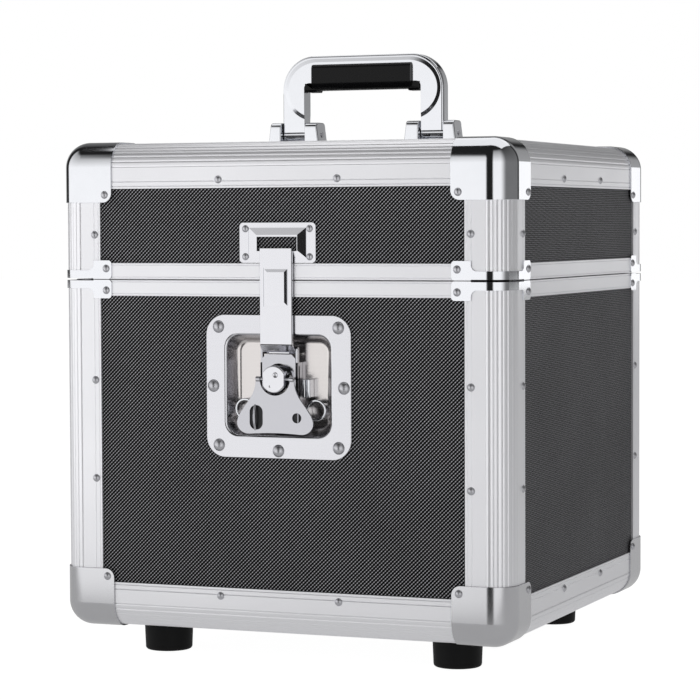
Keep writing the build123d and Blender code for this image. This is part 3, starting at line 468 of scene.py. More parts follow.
def laminate(name, across, up):
    # black sheet with a fine raised lattice: strong ribs one way, faint ones the other
    sheet = Finish(name, Specular_IOR_Level=weave.shine)
    axes = dict(zip("xyz", sheet.axes(sheet.where())))
    u, v = axes[across], axes[up]
    step = 2 * math.pi / weave.pitch
    strong = (step * (v * weave.lean - u)).sine() * 0.5 + 0.5
    faint = (step * (v * weave.lean + u)).sine() * 0.5 + 0.5
    lattice = strong * (1 - weave.second + weave.second * faint)
    ribs = sheet.ramp(lattice, weave.gap, weave.peak)
    tone = ribs * (weave.cloudLow + weave.cloudSpread * sheet.noise(weave.cloudGrain, 2))
    return sheet.wear(
        Base_Color=sheet.colours(tone, weave.black, weave.grey),
        Roughness=weave.rough + weave.roughRise * (1 - ribs),
        Normal=sheet.bump(ribs, weave.strength, weave.depth),
    )


laminateFront = laminate("laminate front and back", "x", "z")
laminateSide = laminate("laminate sides", "y", "z")
laminateFlat = laminate("laminate top and floor", "x", "y")


softLooks = {
    "black rubber": Settings(
        low=(0.0027, 0.0027, 0.003), high=(0.0045, 0.0045, 0.005), rough=0.49, spread=0.12, grain=1.2,
        detail=4, strength=0.5, depth=0.05, shine=0.18, sheen=0.0,
    ),
    "moulded grip": Settings(
        low=(0.0036, 0.0036, 0.0042), high=(0.006, 0.006, 0.007), rough=0.20, spread=0.12, grain=0.5,
        detail=4, strength=0.5, depth=0.006, shine=0.18, sheen=0.0,
    ),
    "foam with felt face": Settings(
        low=(0.030, 0.030, 0.032), high=(0.085, 0.085, 0.09), rough=0.85, spread=0.1, grain=1.5,
        detail=6, strength=0.8, depth=0.2, shine=0.2, sheen=0.3,
    ),
}


def softFinish(name):
    # grit in the tone, the roughness and the surface
    look = softLooks[name]
    skin = Finish(name, Specular_IOR_Level=look.shine, Sheen_Weight=look.sheen)
    grit = skin.noise(look.grain, look.detail)
    return skin.wear(
        Base_Color=skin.colours(grit, look.low, look.high),
        Roughness=look.rough + look.spread * grit,
        Normal=skin.bump(grit, look.strength, look.depth),
    )


rubber, gripPlastic, felt = (softFinish(name) for name in softLooks)
print("finishes ready")

extrusion = Settings(
    segments=42, ribs=7, grooveDepth=0.45, lipLines=(29.0, 32.5), lineHalf=0.4, lineDepth=0.3, postGap=1.7,
    over=5.0,
)


def makeExtrusion(name, low, high, mitres):
    # the bar runs along x; its outer corner is the x axis and its flanks reach along +y and +z
    leg, radius, wall, over = case.leg, case.round, case.wall, extrusion.over
    bar = block(name, (low, 0, 0), (high, leg, leg))
    bevel(bar, lambda e: runsAlong(e, 0) and middle(e).yz.length < 1, radius, extrusion.segments)
    half, depth = extrusion.lineHalf, extrusion.lineDepth
    levels = [line + offset for line in extrusion.lipLines for offset in (-half, 0, half)]
    for level in (*levels, radius + half):
        split(bar, (0, level, 0), (0, 1, 0))
        split(bar, (0, 0, level), (0, 0, 1))

    def onGroove(edge):
        spot = middle(edge).yz - Vector((radius, radius))
        if not runsAlong(edge, 0) or not isNear(spot.length, radius, 0.1) or max(spot) > 0.1:
            return False
        turn = math.degrees(math.atan2(max(-spot.y, 0), max(-spot.x, 0))) * extrusion.ribs / 90
        return isNear(turn, round(turn), 0.02)

    pick(bar, "EDGE", onGroove)
    bpy.ops.transform.shrink_fatten(value=-extrusion.grooveDepth)
    leave()
    for line in extrusion.lipLines:
        shift(bar, lambda v: isNear(v.co.y, line) and isNear(v.co.z, 0), (0, 0, depth))
        shift(bar, lambda v: isNear(v.co.z, line) and isNear(v.co.y, 0), (0, depth, 0))
    cut(bar, block("void", (low - over, wall, wall), (high + over, leg + over, leg + over)))
    for corner, sign in mitres:
        split(bar, (corner, 0, 0), (-sign, 1, 0), True)
        split(bar, (corner, 0, 0), (-sign, 0, 1), True)
    return bar


def edgeMaster(name, half):
    return makeExtrusion(name, -half + case.round, half - case.round, ((-half, 1), (half, -1)))


def postMaster(name, height):
    return makeExtrusion(name, case.round, height - extrusion.postGap / 2, ((0, 1),))


acrossBar = edgeMaster("acrossBar", case.halfWidth)
depthBar = edgeMaster("depthBar", case.halfDepth)
postBars = {
    "base": postMaster("baseBar", case.split - case.bottom),
    "lid": postMaster("lidBar", case.top - case.split),
}
sideNames = {-1: "Left", 1: "Right"}
faceNames = {-1: "Front", 1: "Back"}
# The level of each half's end and of its side of the split, and the way from there into the half.
ends = {"base": (case.bottom, 1), "lid": (case.top, -1)}
splits = {"base": (case.baseTop, -1), "lid": (case.lidBottom, 1)}
for half, (level, up) in ends.items():
    for ySide, face in faceNames.items():
        bar = onFace(acrossBar, f"{half}{face}Bar", ySide, level, up)
        settle(bar, half, satinX, f"{half}_{face.lower()}_edge")
        for xSide, side in sideNames.items():
            post = copyOf(postBars[half], f"{half}{face}{side}Post", place(
                (xSide * case.halfWidth, ySide * case.halfDepth, level),
                (0, 0, up), (-xSide, 0, 0), (0, -ySide, 0),
            ))
            settle(post, half, satinZ, f"{half}_{face.lower()}_{side.lower()}_post")
    for xSide, side in sideNames.items():
        bar = onSide(depthBar, f"{half}{side}Bar", xSide, level, up)
        settle(bar, half, satinY, f"{half}_{side.lower()}_edge")
discard(acrossBar, depthBar, *postBars.values())
print("edge extrusions done")

rim = Settings(
    height=12.1, beads=(1.5, 10.4), lineHalf=0.3, lineDepth=0.3, edge=0.45, tongueNear=10.7, tongueFar=12.2,
    tongueHeight=4.4, tongueRoot=4.0, overlap=1.0,
)


def makeStrip(name, half, tongue):
    # runs along x, face at y = 0, the split at z = 0 and its own half along +z
    height, far, root = rim.height, rim.tongueFar, rim.tongueRoot
    strip = slab(name, half, 0, case.wall, 0, height)
    for bead in rim.beads:
        for offset in (-rim.lineHalf, 0, rim.lineHalf):
            split(strip, (0, 0, bead + offset), (0, 0, 1))
        shift(strip, lambda v: isNear(v.co.z, bead) and isNear(v.co.y, 0), (0, rim.lineDepth, 0))
    bevel(
        strip, lambda e: runsAlong(e, 0) and liesAt(e, 1, 0) and (liesAt(e, 2, 0) or liesAt(e, 2, height)),
        rim.edge, 3,
    )
    if tongue:
        foot = slab("root", half, case.wall - rim.overlap, far, 0, root)
        fuse(strip, fuse(foot, slab("blade", half, rim.tongueNear, far, -rim.tongueHeight, root)))
    return strip


for half, (level, up) in splits.items():
    acrossStrip = makeStrip("acrossStrip", case.halfWidth - case.leg, half == "base")
    depthStrip = makeStrip("depthStrip", case.halfDepth - case.leg, half == "base")
    fronts = [onFace(acrossStrip, "strip", side, level, up) for side in (-1, 1)]
    flanks = [onSide(depthStrip, "strip", side, level, up) for side in (-1, 1)]
    discard(acrossStrip, depthStrip)
    settle(joined(f"{half}RimFrontBack", fronts), half, satinX, f"{half}_rim")
    settle(joined(f"{half}RimSides", flanks), half, satinY, f"{half}_rim", replaces=False)
print("rims done")

cap = Settings(sheet=1.2, reach=44.5, lobe=7.0, segments=20, lobeSegments=10, edge=0.35)


def makeCap():
    # the corner of the case is at the origin and the sheet reaches along +x, +y and +z
    low, high = -cap.sheet, cap.reach
    shell = block("cap", (low, low, low), (high, high, high))
    bevel(
        shell, lambda e: sum(isNear(value, low) for value in middle(e)) == 2, case.round + cap.sheet,
        cap.segments,
    )
    removeFaces(shell, lambda f: any(isNear(value, high) for value in middle(f)))
    bevel(
        shell, lambda v: sum(isNear(value, high) for value in v.co) == 2, cap.lobe, cap.lobeSegments, "VERT"
    )
    thicken(shell, cap.sheet)
    return soften(shell, cap.edge)


capMaster = makeCap()
capFinishes = {"base": satinCap, "lid": chrome}
for half, (level, up) in ends.items():
    caps = joined(f"{half}BallCorners", onCorners(capMaster, level, up))
    settle(caps, half, capFinishes[half], f"{half}_corner_caps", angle=40)
discard(capMaster)
print("corner caps done")

brace = Settings(
    sheet=1.0, reach=44.0, shoulder=29.0, height=14.0, band=6.0, lobe=2.5, lobeSegments=8, inner=4.5,
    innerSegments=6, segments=24, rimGap=0.6, near=-9.0, above=30.0, below=-10.0, edge=0.25,
)


def makeBrace():
    # corner of the case on the z axis, the split at z = 0
    low, high, shoulder, near = -brace.sheet, brace.reach, brace.shoulder, brace.near
    shell = block("brace", (low, low, 0), (high, high, brace.height))
    bevel(
        shell, lambda e: runsAlong(e, 2) and liesAt(e, 0, low) and liesAt(e, 1, low),
        case.round + brace.sheet, brace.segments,
    )
    removeFaces(shell, lambda f: isNear(max(middle(f).xy), high) or abs(f.normal.z) > 0.9)
    bevel(shell, lambda v: isNear(max(v.co.xy), high), brace.lobe, brace.lobeSegments, "VERT")
    thicken(shell, brace.sheet)
    outwards(shell)
    # over the post the band is narrower than its tabs: one cut above it, one towards the split
    gap = (extrusion.postGap - brace.rimGap) / 2
    top = gap + brace.band
    for bottom, end, level, inner in (
        (top, brace.above, top, brace.inner), (brace.below, gap, gap, gap * 0.9),
    ):
        notch = block("notch", (near, near, bottom), (shoulder, shoulder, end))
        bevel(
            notch, lambda e: isNear(middle(e).z, level) and isNear(max(middle(e).xy), shoulder), inner,
            brace.innerSegments,
        )
        cut(shell, notch)
    return soften(shell, brace.edge)


braceMaster = makeBrace()
for half, (level, up) in splits.items():
    bands = joined(f"{half}SplitBands", onCorners(braceMaster, level, up))
    settle(bands, half, chrome, f"{half}_split_braces", angle=40)
discard(braceMaster)
print("split braces done")

rivet = Settings(
    head=6.0, share=0.3, sink=0.4, capInset=38.7, postInset=29.5, edgeRise=28.0, edgeHalf=47.5,
    lidPost=33.6, baseDrops=(76.2, 150.7), braceInset=39.6, braceRise=8.2, hingeX=90.0, hingeHalf=18.0,
    hingeRise=18.0, hingeSheet=1.5, dishHead=9.5, keeperHead=5.4,
)


def dome(name, width):
    # a shallow round head that stands on z = 0
    height, half = width * rivet.share, width / 2
    radius = (half ** 2 + height ** 2) / (2 * height)
    spot = (0, 0, height - radius)
    head = added(name, "uv_sphere", segments=28, ring_count=22, radius=radius, location=spot)
    split(head, (0, 0, 0), (0, 0, -1), True)
    extrude(head, "FACE", lambda f: f.normal.z < -0.9, (0, 0, -rivet.sink))
    return head


waysOut = {"f": (0, -1, 0), "b": (0, 1, 0), "l": (-1, 0, 0), "r": (1, 0, 0)}


def headPlaces(across, height, lift, faces="fblr"):
    # the same distance from the middle of each face
    spots = []
    for side in (-1, 1):
        for face in faces:
            reach = case.halfDepth if face in "fb" else case.halfWidth
            spot = Vector(waysOut[face]) * (reach + lift) + Vector((0, 0, height))
            spot += Vector((side * across, 0, 0) if face in "fb" else (0, side * across, 0))
            spots.append((spot, waysOut[face]))
    return spots


def cornerPlaces(inset, height, lift=0):
    return headPlaces(case.halfWidth - inset, height, lift, "fb") + headPlaces(
        case.halfDepth - inset, height, lift, "lr"
    )


def rivets(name, width, spots, body, node):
    master = dome("head", width)
    heads = []
    for spot, way in spots:
        turn = Vector(way).to_track_quat("Z", "Y").to_matrix().to_4x4()
        heads.append(copyOf(master, "head", Matrix.Translation(spot) @ turn))
    discard(master)
    settle(joined(name, heads), body, platedDark, node)


def halfRivets(half, postLevels):
    # those of the edges, posts, corner caps, braces and hinges of one half
    (end, up), (_, away) = ends[half], splits[half]
    spots = headPlaces(rivet.edgeHalf, end + up * rivet.edgeRise, 0)
    for level in postLevels:
        spots += cornerPlaces(rivet.postInset, level)
    spots += cornerPlaces(rivet.capInset, end + up * rivet.capInset, cap.sheet)
    spots += cornerPlaces(rivet.braceInset, case.split + away * rivet.braceRise, brace.sheet)
    y, z = case.halfDepth + rivet.hingeSheet, case.split + away * rivet.hingeRise
    for side in (-1, 1):
        for step in (-1, 1):
            spots.append(((side * rivet.hingeX + step * rivet.hingeHalf, y, z), waysOut["b"]))
    rivets(f"{half}RivetHeads", rivet.head, spots, half, f"{half}_rivets")


halfRivets("base", [case.split - drop for drop in rivet.baseDrops])
halfRivets("lid", [case.split + rivet.lidPost])
print("rivets done")

latch = Settings(z=209.0, front=-175.7, floor=-164.0, rotorZ=215.0)
dish = Settings(
    halfWidth=58.0, halfHeight=53.0, corner=15.0, sheet=1.2, mouthHalfWidth=42.0, mouthHalfHeight=37.5,
    mouthCorner=10.0, mouthZ=210.0, inset=4.73, lip=1.5, floorRound=3.0, panSink=0.3, over=3.0, rimX=50.0,
    rimZ=46.0, edge=0.4, rivetX=48.0, rivetZ=44.0, rivetSide=52.3, rivetEnd=47.3,
)


def taperedPan(name, grow, near, far):
    # rounded block that narrows from front to back
    halfX, halfZ, z = dish.mouthHalfWidth + grow, dish.mouthHalfHeight + grow, dish.mouthZ
    pan = slab(name, halfX, near, far, z - halfZ, z + halfZ)
    bevel(pan, alongY, dish.mouthCorner + grow, 12)
    factors = ((halfX - dish.inset) / halfX, 1, (halfZ - dish.inset) / halfZ)
    stretch(pan, lambda v: isNear(v.co.y, far), factors, (0, far, z))
    return pan


def makeDish():
    front, floor, sheet = latch.front, latch.floor, dish.sheet
    low, high = latch.z - dish.halfHeight, latch.z + dish.halfHeight
    plate = slab("latchDish", dish.halfWidth, front, front + sheet, low, high)
    bevel(plate, alongY, dish.corner, 20)
    fuse(plate, taperedPan("pan", sheet, front + dish.panSink, floor + sheet))
    hollow = taperedPan("hollow", 0, front, floor)
    extrude(hollow, "FACE", lambda f: f.normal.y < -0.9, (0, -dish.over, 0))
    bevel(hollow, lambda e: isNear(middle(e).y, floor), dish.floorRound, 5)
    cut(plate, hollow)

    def onLip(edge):
        spot, reachX, reachZ = middle(edge), dish.mouthHalfWidth + 1, dish.mouthHalfHeight + 1
        inside = abs(spot.x) < reachX and abs(spot.z - dish.mouthZ) < reachZ
        return inside and liesAt(edge, 1, front) and isSharp(edge)

    def onRim(edge):
        spot = middle(edge)
        outside = abs(spot.x) > dish.rimX or abs(spot.z - latch.z) > dish.rimZ
        return outside and liesAt(edge, 1, front) and isSharp(edge)

    bevel(plate, onLip, dish.lip, 5)
    bevel(plate, onRim, dish.edge, 3)
    return plate


# floor holds the colours of a painted warm reflection at the bottom of the recess
dishLooksWithPaintedReflection = Settings(
    flange=((0.61, 0.61, 0.64), (0.65, 0.65, 0.68)), floor=((0.62, 0.59, 0.58), (0.67, 0.64, 0.63)),
    turn=(-172.0, -165.0), grain=1.2, rough=0.17, floorRise=0.04, spread=0.03, strength=0.3, depth=0.0004,
)


def dishMetalWithPaintedReflection():
    # bright flange, and a softer floor at the bottom of the recess whose warm tint is a painted warm
    # reflection
    metal = Finish("latch dish", Metallic=1.0)
    lines = metal.noise(dishLooksWithPaintedReflection.grain, 4, alongAxis["x"])
    deep = metal.ramp(metal.axes(metal.where())[1], *dishLooksWithPaintedReflection.turn, "LINEAR")
    # towards the back of the recess the colour turns to the floor's painted warm reflection
    flange, floor = (metal.colours(lines, *dishLooksWithPaintedReflection[area]) for area in ("flange", "floor"))
    return metal.wear(
        Base_Color=metal.colours(deep, flange, floor),
        Roughness=dishLooksWithPaintedReflection.rough + dishLooksWithPaintedReflection.floorRise * deep + dishLooksWithPaintedReflection.spread * lines,
        Normal=metal.bump(lines, dishLooksWithPaintedReflection.strength, dishLooksWithPaintedReflection.depth),
    )


settle(makeDish(), "base", dishMetalWithPaintedReflection(), "latch_dish")
dishSpots = [(x * dish.rivetX, z * dish.rivetZ) for x in (-1, 1) for z in (-1, 1)]
dishSpots += [(-dish.rivetSide, 0), (dish.rivetSide, 0), (0, -dish.rivetEnd)]
dishSpots = [((x, latch.front, latch.z + z), waysOut["f"]) for x, z in dishSpots]
rivets("dishRivetHeads", rivet.dishHead, dishSpots, "base", "dish_rivets")

tube = Settings(x=28.5, z=192.0, radius=8.0, bore=6.2, length=8.0, edge=0.7, over=1.0)


def makeTube(side):
    # a short ring that stands on the dish's floor
    far, across = latch.floor, (side * tube.x, tube.z)
    near, over = far - tube.length, tube.over
    ring = rodBetween("restTube", "y", near, far, across, tube.radius, 48)
    cut(ring, rodBetween("bore", "y", near - over, far + over, across, tube.bore, 48))
    return soften(ring, tube.edge, 3)


tubes = joined("restTubes", [makeTube(-1), makeTube(1)])
settle(tubes, "base", chrome, "latch_rest_tubes", angle=40)

stop = Settings(
    low=(17.5, -172.0, 201.0), high=(24.0, -164.0, 215.0), slot=1.6, slotDepth=3.0, over=1.0, edge=0.9,
)


def makeStop():
    (lowX, front, lowZ), (highX, _, highZ) = stop.low, stop.high
    lump = block("stopBlock", stop.low, stop.high)
    x, half, deep, over = (lowX + highX) / 2, stop.slot / 2, stop.slotDepth, stop.over
    cut(lump, block("slot", (x - half, front - deep, lowZ - over), (x + half, front + deep, highZ + over)))
    return soften(lump, stop.edge, 4)


settle(makeStop(), "base", chrome, "latch_stop_block", angle=40)
print("latch dish done")

rotor = Settings(
    radius=10.0, front=-184.5, back=-177.5, flat=8.2, chamfer=1.0, grooves=(-182.4, -180.4),
    grooveWidth=0.6, grooveDepth=0.7, neck=8.0, neckBack=-172.3, shaft=5.0, shaftBack=-164.0, overlap=0.5,
    over=2.0, flatOuter=15.0, flatNear=-190.0, flatFar=-165.0,
    # each dimple: its place across and up, the ball's radius, its depth
    dimples=((1.6, 3.3, 2.8, 1.0), (-2.6, -5.2, 3.2, 0.25)),
)


def makeRotor():
    # ribbed head with flat sides on a neck and a shaft
    z, front, back, neckBack = latch.rotorZ, rotor.front, rotor.back, rotor.neckBack
    radius, overlap, over, reach = rotor.radius, rotor.overlap, rotor.over, rotor.flatOuter

    def drum(name, near, far, radius, sides=72):
        return rodBetween(name, "y", near, far, (0, z), radius, sides)

    head = drum("latchRotor", front, back, radius, 96)
    bevel(head, lambda e: isNear(middle(e).y, front) and isSharp(e), rotor.chamfer, 3)
    half = rotor.grooveWidth / 2
    for y in rotor.grooves:
        ring = drum("ring", y - half, y + half, radius + over)
        cut(head, cut(ring, drum("core", y - 1, y + 1, radius - rotor.grooveDepth)))
    for x, rise, ball, depth in rotor.dimples:
        spot = (x, front - ball + depth, z + rise)
        cut(head, added("dimple", "uv_sphere", segments=24, ring_count=12, radius=ball, location=spot))
    fuse(head, drum("neck", back - overlap, neckBack, rotor.neck))
    for side in (-1, 1):
        low, high = span(side, rotor.flat, reach)
        cut(head, block("flat", (low, rotor.flatNear, z - reach), (high, rotor.flatFar, z + reach)))
    return fuse(head, drum("shaft", neckBack - overlap, rotor.shaftBack, rotor.shaft, 48))


settle(makeRotor(), "rotor", plated, "latch_rotor", angle=35)

wing = Settings(
    front=-182.0, back=-180.5, edge=0.6, through=10.0, window=12.0, holeX=17.5, holeZ=186.7, hole=3.6,
    slotX=-15.0, slotWidth=10.4, slotHeight=18.0, bowRadius=250.0, bow=0.8, eyeRadius=18.0, eyeThick=0.85,
    eyeWide=1.15, eyeShift=-0.8, eyeFront=-184.7, eyeSink=0.4, barX=18.2, barRadius=0.55, barLength=6.8,
    barSink=0.6, pocket=1.2, pocketMargin=1.0, pocketSink=0.05, pocketRound=0.9, knuckleX=13.3, knuckle=2.0,
    knuckleLength=3.6, knuckleEdge=0.3,
    # how far below the hinge line, and half the width there
    rows=(
        (0, 15.2), (4, 15.6), (8, 16.6), (11, 17.9), (14, 19.6), (17, 21.8), (20, 24.1), (23, 26.3),
        (26, 28.3), (29, 29.8), (31.5, 30.5), (34, 30.4), (36, 29.6), (37.8, 28.2), (39.2, 26.3),
        (40.1, 24.2), (40.5, 22.0),
    ),
)


def makeWing():
    # a row of edges drawn downwards from the hinge line, each row as wide as the outline there
    top, back, rows, through = latch.rotorZ, wing.back, wing.rows, wing.through
    (_, firstHalf), (drop, half) = rows[:2]
    spot = (0, back, top - drop / 2)
    plate = added("latchWing", "plane", (2 * firstHalf, drop, 1), size=1, rotation=turns["y"], location=spot)
    stretch(plate, lambda v: isNear(v.co.z, top - drop), (half / firstHalf, 1, 1), (0, back, top))
    for nextDrop, nextHalf in rows[2:]:
        extrude(
            plate, "EDGE", lambda e: liesAt(e, 2, top - drop), (0, 0, drop - nextDrop),
            (nextHalf / half, 1, 1), (0, back, top),
        )
        drop, half = nextDrop, nextHalf
    outwards(plate)
    thicken(plate, back - wing.front)
    outwards(plate)
    nearest = min(v.co.y for v in plate.data.vertices)
    shift(plate, lambda v: True, (0, wing.front - nearest, 0))
    x, z, wide, halfSlot = wing.slotX, wing.holeZ, wing.slotWidth / 2, wing.slotHeight / 2
    bowZ = top - drop + wing.bow - wing.bowRadius
    cut(
        plate,
        rod("window", (0, back, top), "y", wing.window, through, 72),
        rod("hole", (wing.holeX, back, z), "y", wing.hole, through, 40),
        rod("bow", (0, back, bowZ), "y", wing.bowRadius, through, 256),
    )
    near, far = back - through / 2, back + through / 2
    slot = block("slot", (x - wide, near, z - halfSlot), (x + wide, far, z + halfSlot))
    bevel(slot, alongY, wide - 0.05, 12)
    return soften(cut(plate, slot), wing.edge, 3)


def makeEye():
    # the loop that bows out through the wing's slot is the front of a large thin ring
    thick, radius = wing.eyeThick, wing.eyeRadius
    loop = added(
        "eye", "torus", major_segments=160, minor_segments=14, major_radius=radius, minor_radius=thick,
        rotation=turns["x"],
        location=(wing.slotX + wing.eyeShift, wing.eyeFront + thick + radius, wing.holeZ),
    )
    stretch(loop, lambda v: True, (wing.eyeWide, 1, 1), (wing.slotX, 0, 0))
    split(loop, (0, wing.back - wing.eyeSink, 0), (0, 1, 0), True)
    outwards(loop)
    return loop


def makeKnuckle(side):
    centre = (side * wing.knuckleX, (wing.front + wing.back) / 2, latch.rotorZ)
    return soften(rod("knuckle", centre, "x", wing.knuckle, wing.knuckleLength, 32), wing.knuckleEdge)


barSpot = (wing.barX, wing.back - wing.barSink, wing.holeZ)
wingBar = rod("bar", barSpot, "z", wing.barRadius, wing.barLength, 16)
wingPiece = joined("latchWing", [makeWing(), makeEye(), wingBar, makeKnuckle(-1), makeKnuckle(1)])
settle(wingPiece, "wing", platedGrey, "latch_wing", angle=35)


def makeShadeCup(name, x, halfWidth, halfHeight):
    # a shallow black cup behind an opening of the wing: painted shade, standing where the shadow behind the
    # wing falls
    wide, tall, z = halfWidth + wing.pocketMargin, halfHeight + wing.pocketMargin, wing.holeZ
    near, far = wing.back - wing.pocketSink, wing.back + wing.pocket
    cup = block(name, (x - wide, near, z - tall), (x + wide, far, z + tall))
    bevel(cup, alongY, halfWidth * wing.pocketRound, 6)
    return cup


# black cups behind the slot and the hole paint the shade seen through them
shadeCups = joined("latchWingShadeCups", [
    makeShadeCup("slotShadeCup", wing.slotX, wing.slotWidth / 2, wing.slotHeight / 2),
    makeShadeCup("holeShadeCup", wing.holeX, wing.hole, wing.hole),
])
settle(shadeCups, "wing", paintedShadeBlack, "latch_wing", replaces=False)

hook = Settings(
    half=14.8, topHalf=13.3, front=-174.2, sheet=1.5, bottom=190.0, shoulder=227.0, top=233.0, overlap=4.0,
    chamfer=3.0, window=11.2, through=8.0, lift=7.0, edge=0.3, flangeBack=-164.3, pinY=-172.0, pinZ=237.0,
    knuckle=1.6, knuckleLow=8.3, knuckleHigh=14.05, stemLow=215.0, stemFront=-173.6, stemBack=-170.4,
    yokeFront=-171.5, yokeBack=-169.5, yokeZ=211.5, yokeHalf=13.0, yokeSlotX=10.4, yokeSlotZ=7.5,
    yokeSlotY=(-175.0, -165.0),
)


def makeHook():
    # plate with a long window, side flanges that carry the strap's pin, and a yoke behind
    front, back, z, half = hook.front, hook.front + hook.sheet, latch.rotorZ, hook.half
    bottom, shoulder, top, width = hook.bottom, hook.shoulder, hook.top, hook.window
    low, deep, pin, knuckle = z - hook.lift, hook.through, (hook.pinY, hook.pinZ), hook.knuckle
    plate = slab("hookPlate", half, front, back, bottom, shoulder)
    upper = slab("upper", hook.topHalf, front, back, shoulder - hook.overlap, top)
    bevelAt(upper, 1, top, hook.chamfer, 1)
    fuse(plate, upper)
    cut(
        plate,
        rod("window", (0, front, z), "y", width, deep, 64),
        rod("lower", (0, front, low), "y", width, deep, 64),
        slab("between", width, front - deep / 2, front + deep / 2, low, z),
    )
    parts = [soften(plate, hook.edge)]
    for side in (-1, 1):
        inner, outer = span(side, half - hook.sheet, half)
        flange = block("flange", (inner, front, bottom), (outer, hook.flangeBack, shoulder))
        stem = block("stem", (inner, hook.stemFront, hook.stemLow), (outer, hook.stemBack, hook.pinZ))
        fuse(flange, stem, rodBetween("lobe", "x", inner, outer, pin, knuckle, 32))
        near, far = span(side, hook.knuckleLow, hook.knuckleHigh)
        tip = rodBetween("knuckle", "x", near, far, pin, knuckle, 32)
        parts += [soften(flange, hook.edge), soften(tip, hook.edge)]
    yokeZ, tall, slotZ = hook.yokeZ, hook.yokeHalf, hook.yokeSlotZ
    yoke = slab("yoke", half, hook.yokeFront, hook.yokeBack, yokeZ - tall, yokeZ + tall)
    parts.append(cut(yoke, slab("slot", hook.yokeSlotX, *hook.yokeSlotY, yokeZ - slotZ, yokeZ + slotZ)))
    return joined("hookPlate", parts)


settle(makeHook(), "hook", platedGrey, "hook_plate", angle=35)

strap = Settings(
    half=13.0, front=-179.1, back=-177.3, bottom=240.2, top=311.1, edge=0.6, overlap=0.5, shelfDepth=7.0,
    shelfSheet=1.41, shelfSink=0.2, shelfRise=0.4, padHalf=9.25, padLow=269.0, padHigh=296.0, padRise=0.6,
    padSink=0.05, padSlope=2.4, padLine=0.7, padLineDepth=0.5, lipHalf=12.5, lipLow=309.4, hookBack=-174.8,
    hookSheet=0.7, hookLow=307.6, hookDrop=0.2, barrelHalf=8.0, webFront=1.6, webBack=0.2, webDrop=3.3,
)


def makeStrap():
    front, back, low, top = strap.front, strap.back, strap.bottom, strap.top
    half, lipHalf, sink, toeBack = strap.half, strap.lipHalf, strap.shelfSink, strap.hookBack
    plate = slab("latchStrap", half, front, back, low, top)
    lip = slab("lip", lipHalf, back - strap.overlap, toeBack, strap.lipLow, top)
    toe = slab("toe", lipHalf, toeBack - strap.hookSheet, toeBack, strap.hookLow, top - strap.hookDrop)
    # the shelf leans back at 45 degrees under the strap, down to its barrel
    shelf = slab("shelf", half, front, front + strap.shelfSheet, low - sink, low + strap.shelfRise)
    depth = strap.shelfDepth - sink
    extrude(shelf, "FACE", lambda f: f.normal.z < -0.9, (0, depth, -depth))
    fuse(plate, lip, toe, shelf)

    def onSides(edge):
        return runsAlong(edge, 2) and liesAt(edge, 1, front) and isNear(abs(middle(edge).x), half)

    def onEnds(edge):
        z = middle(edge).z
        return runsAlong(edge, 0) and liesAt(edge, 1, front) and (isNear(z, top) or isNear(z, low, 0.5))

    bevel(plate, onSides, strap.edge, 3)
    bevel(plate, onEnds, strap.edge, 3)
    padHalf, padLow, padHigh, slope = strap.padHalf, strap.padLow, strap.padHigh, strap.padSlope
    face = front - strap.padRise
    pad = slab("pad", padHalf, face, front + strap.padSink, padLow, padHigh)
    factors = ((padHalf - slope) / padHalf, 1, (padHigh - padLow - 2 * slope) / (padHigh - padLow))
    stretch(pad, lambda v: isNear(v.co.y, face), factors, (0, front, (padLow + padHigh) / 2))
    fuse(plate, pad)
    # a fine groove round the pressed pad
    fine, deep = strap.padLine, strap.padLineDepth
    trench = slab("trench", padHalf + fine, front - 1, front + deep, padLow - fine, padHigh + fine)
    cut(plate, cut(trench, slab("core", padHalf, front - 2, front + 1, padLow, padHigh)))
    pinY, pinZ, reach = hook.pinY, hook.pinZ, strap.barrelHalf
    barrel = rodBetween("barrel", "x", -reach, reach, (pinY, pinZ), hook.knuckle, 32)
    web = slab("web", reach, pinY - strap.webFront, pinY - strap.webBack, pinZ - strap.webDrop, pinZ)
    return joined("latchStrap", [plate, barrel, web])


settle(makeStrap(), "strap", plated, "latch_strap", angle=8)
print("rotor, wing, hook plate and strap done")

keeper = Settings(
    halfWidth=30.5, low=300.2, high=330.2, corner=3.0, edge=0.3, back=-174.5, front=-175.7, top=-177.1,
    footDepth=0.6, frameHalfWidth=22.9, frameHalfHeight=11.0, topHalfWidth=16.4, topHalfHeight=5.7,
    windowHalf=16.0, windowLow=309.0, windowHigh=319.6, through=(-190.0, -170.0), roomWall=2.6,
    roomDepth=0.4, roomBack=-173.0, line=0.35, overlap=0.5, rivetX=25.7, rivetZ=10.3,
)
keeperMiddle = (keeper.low + keeper.high) / 2


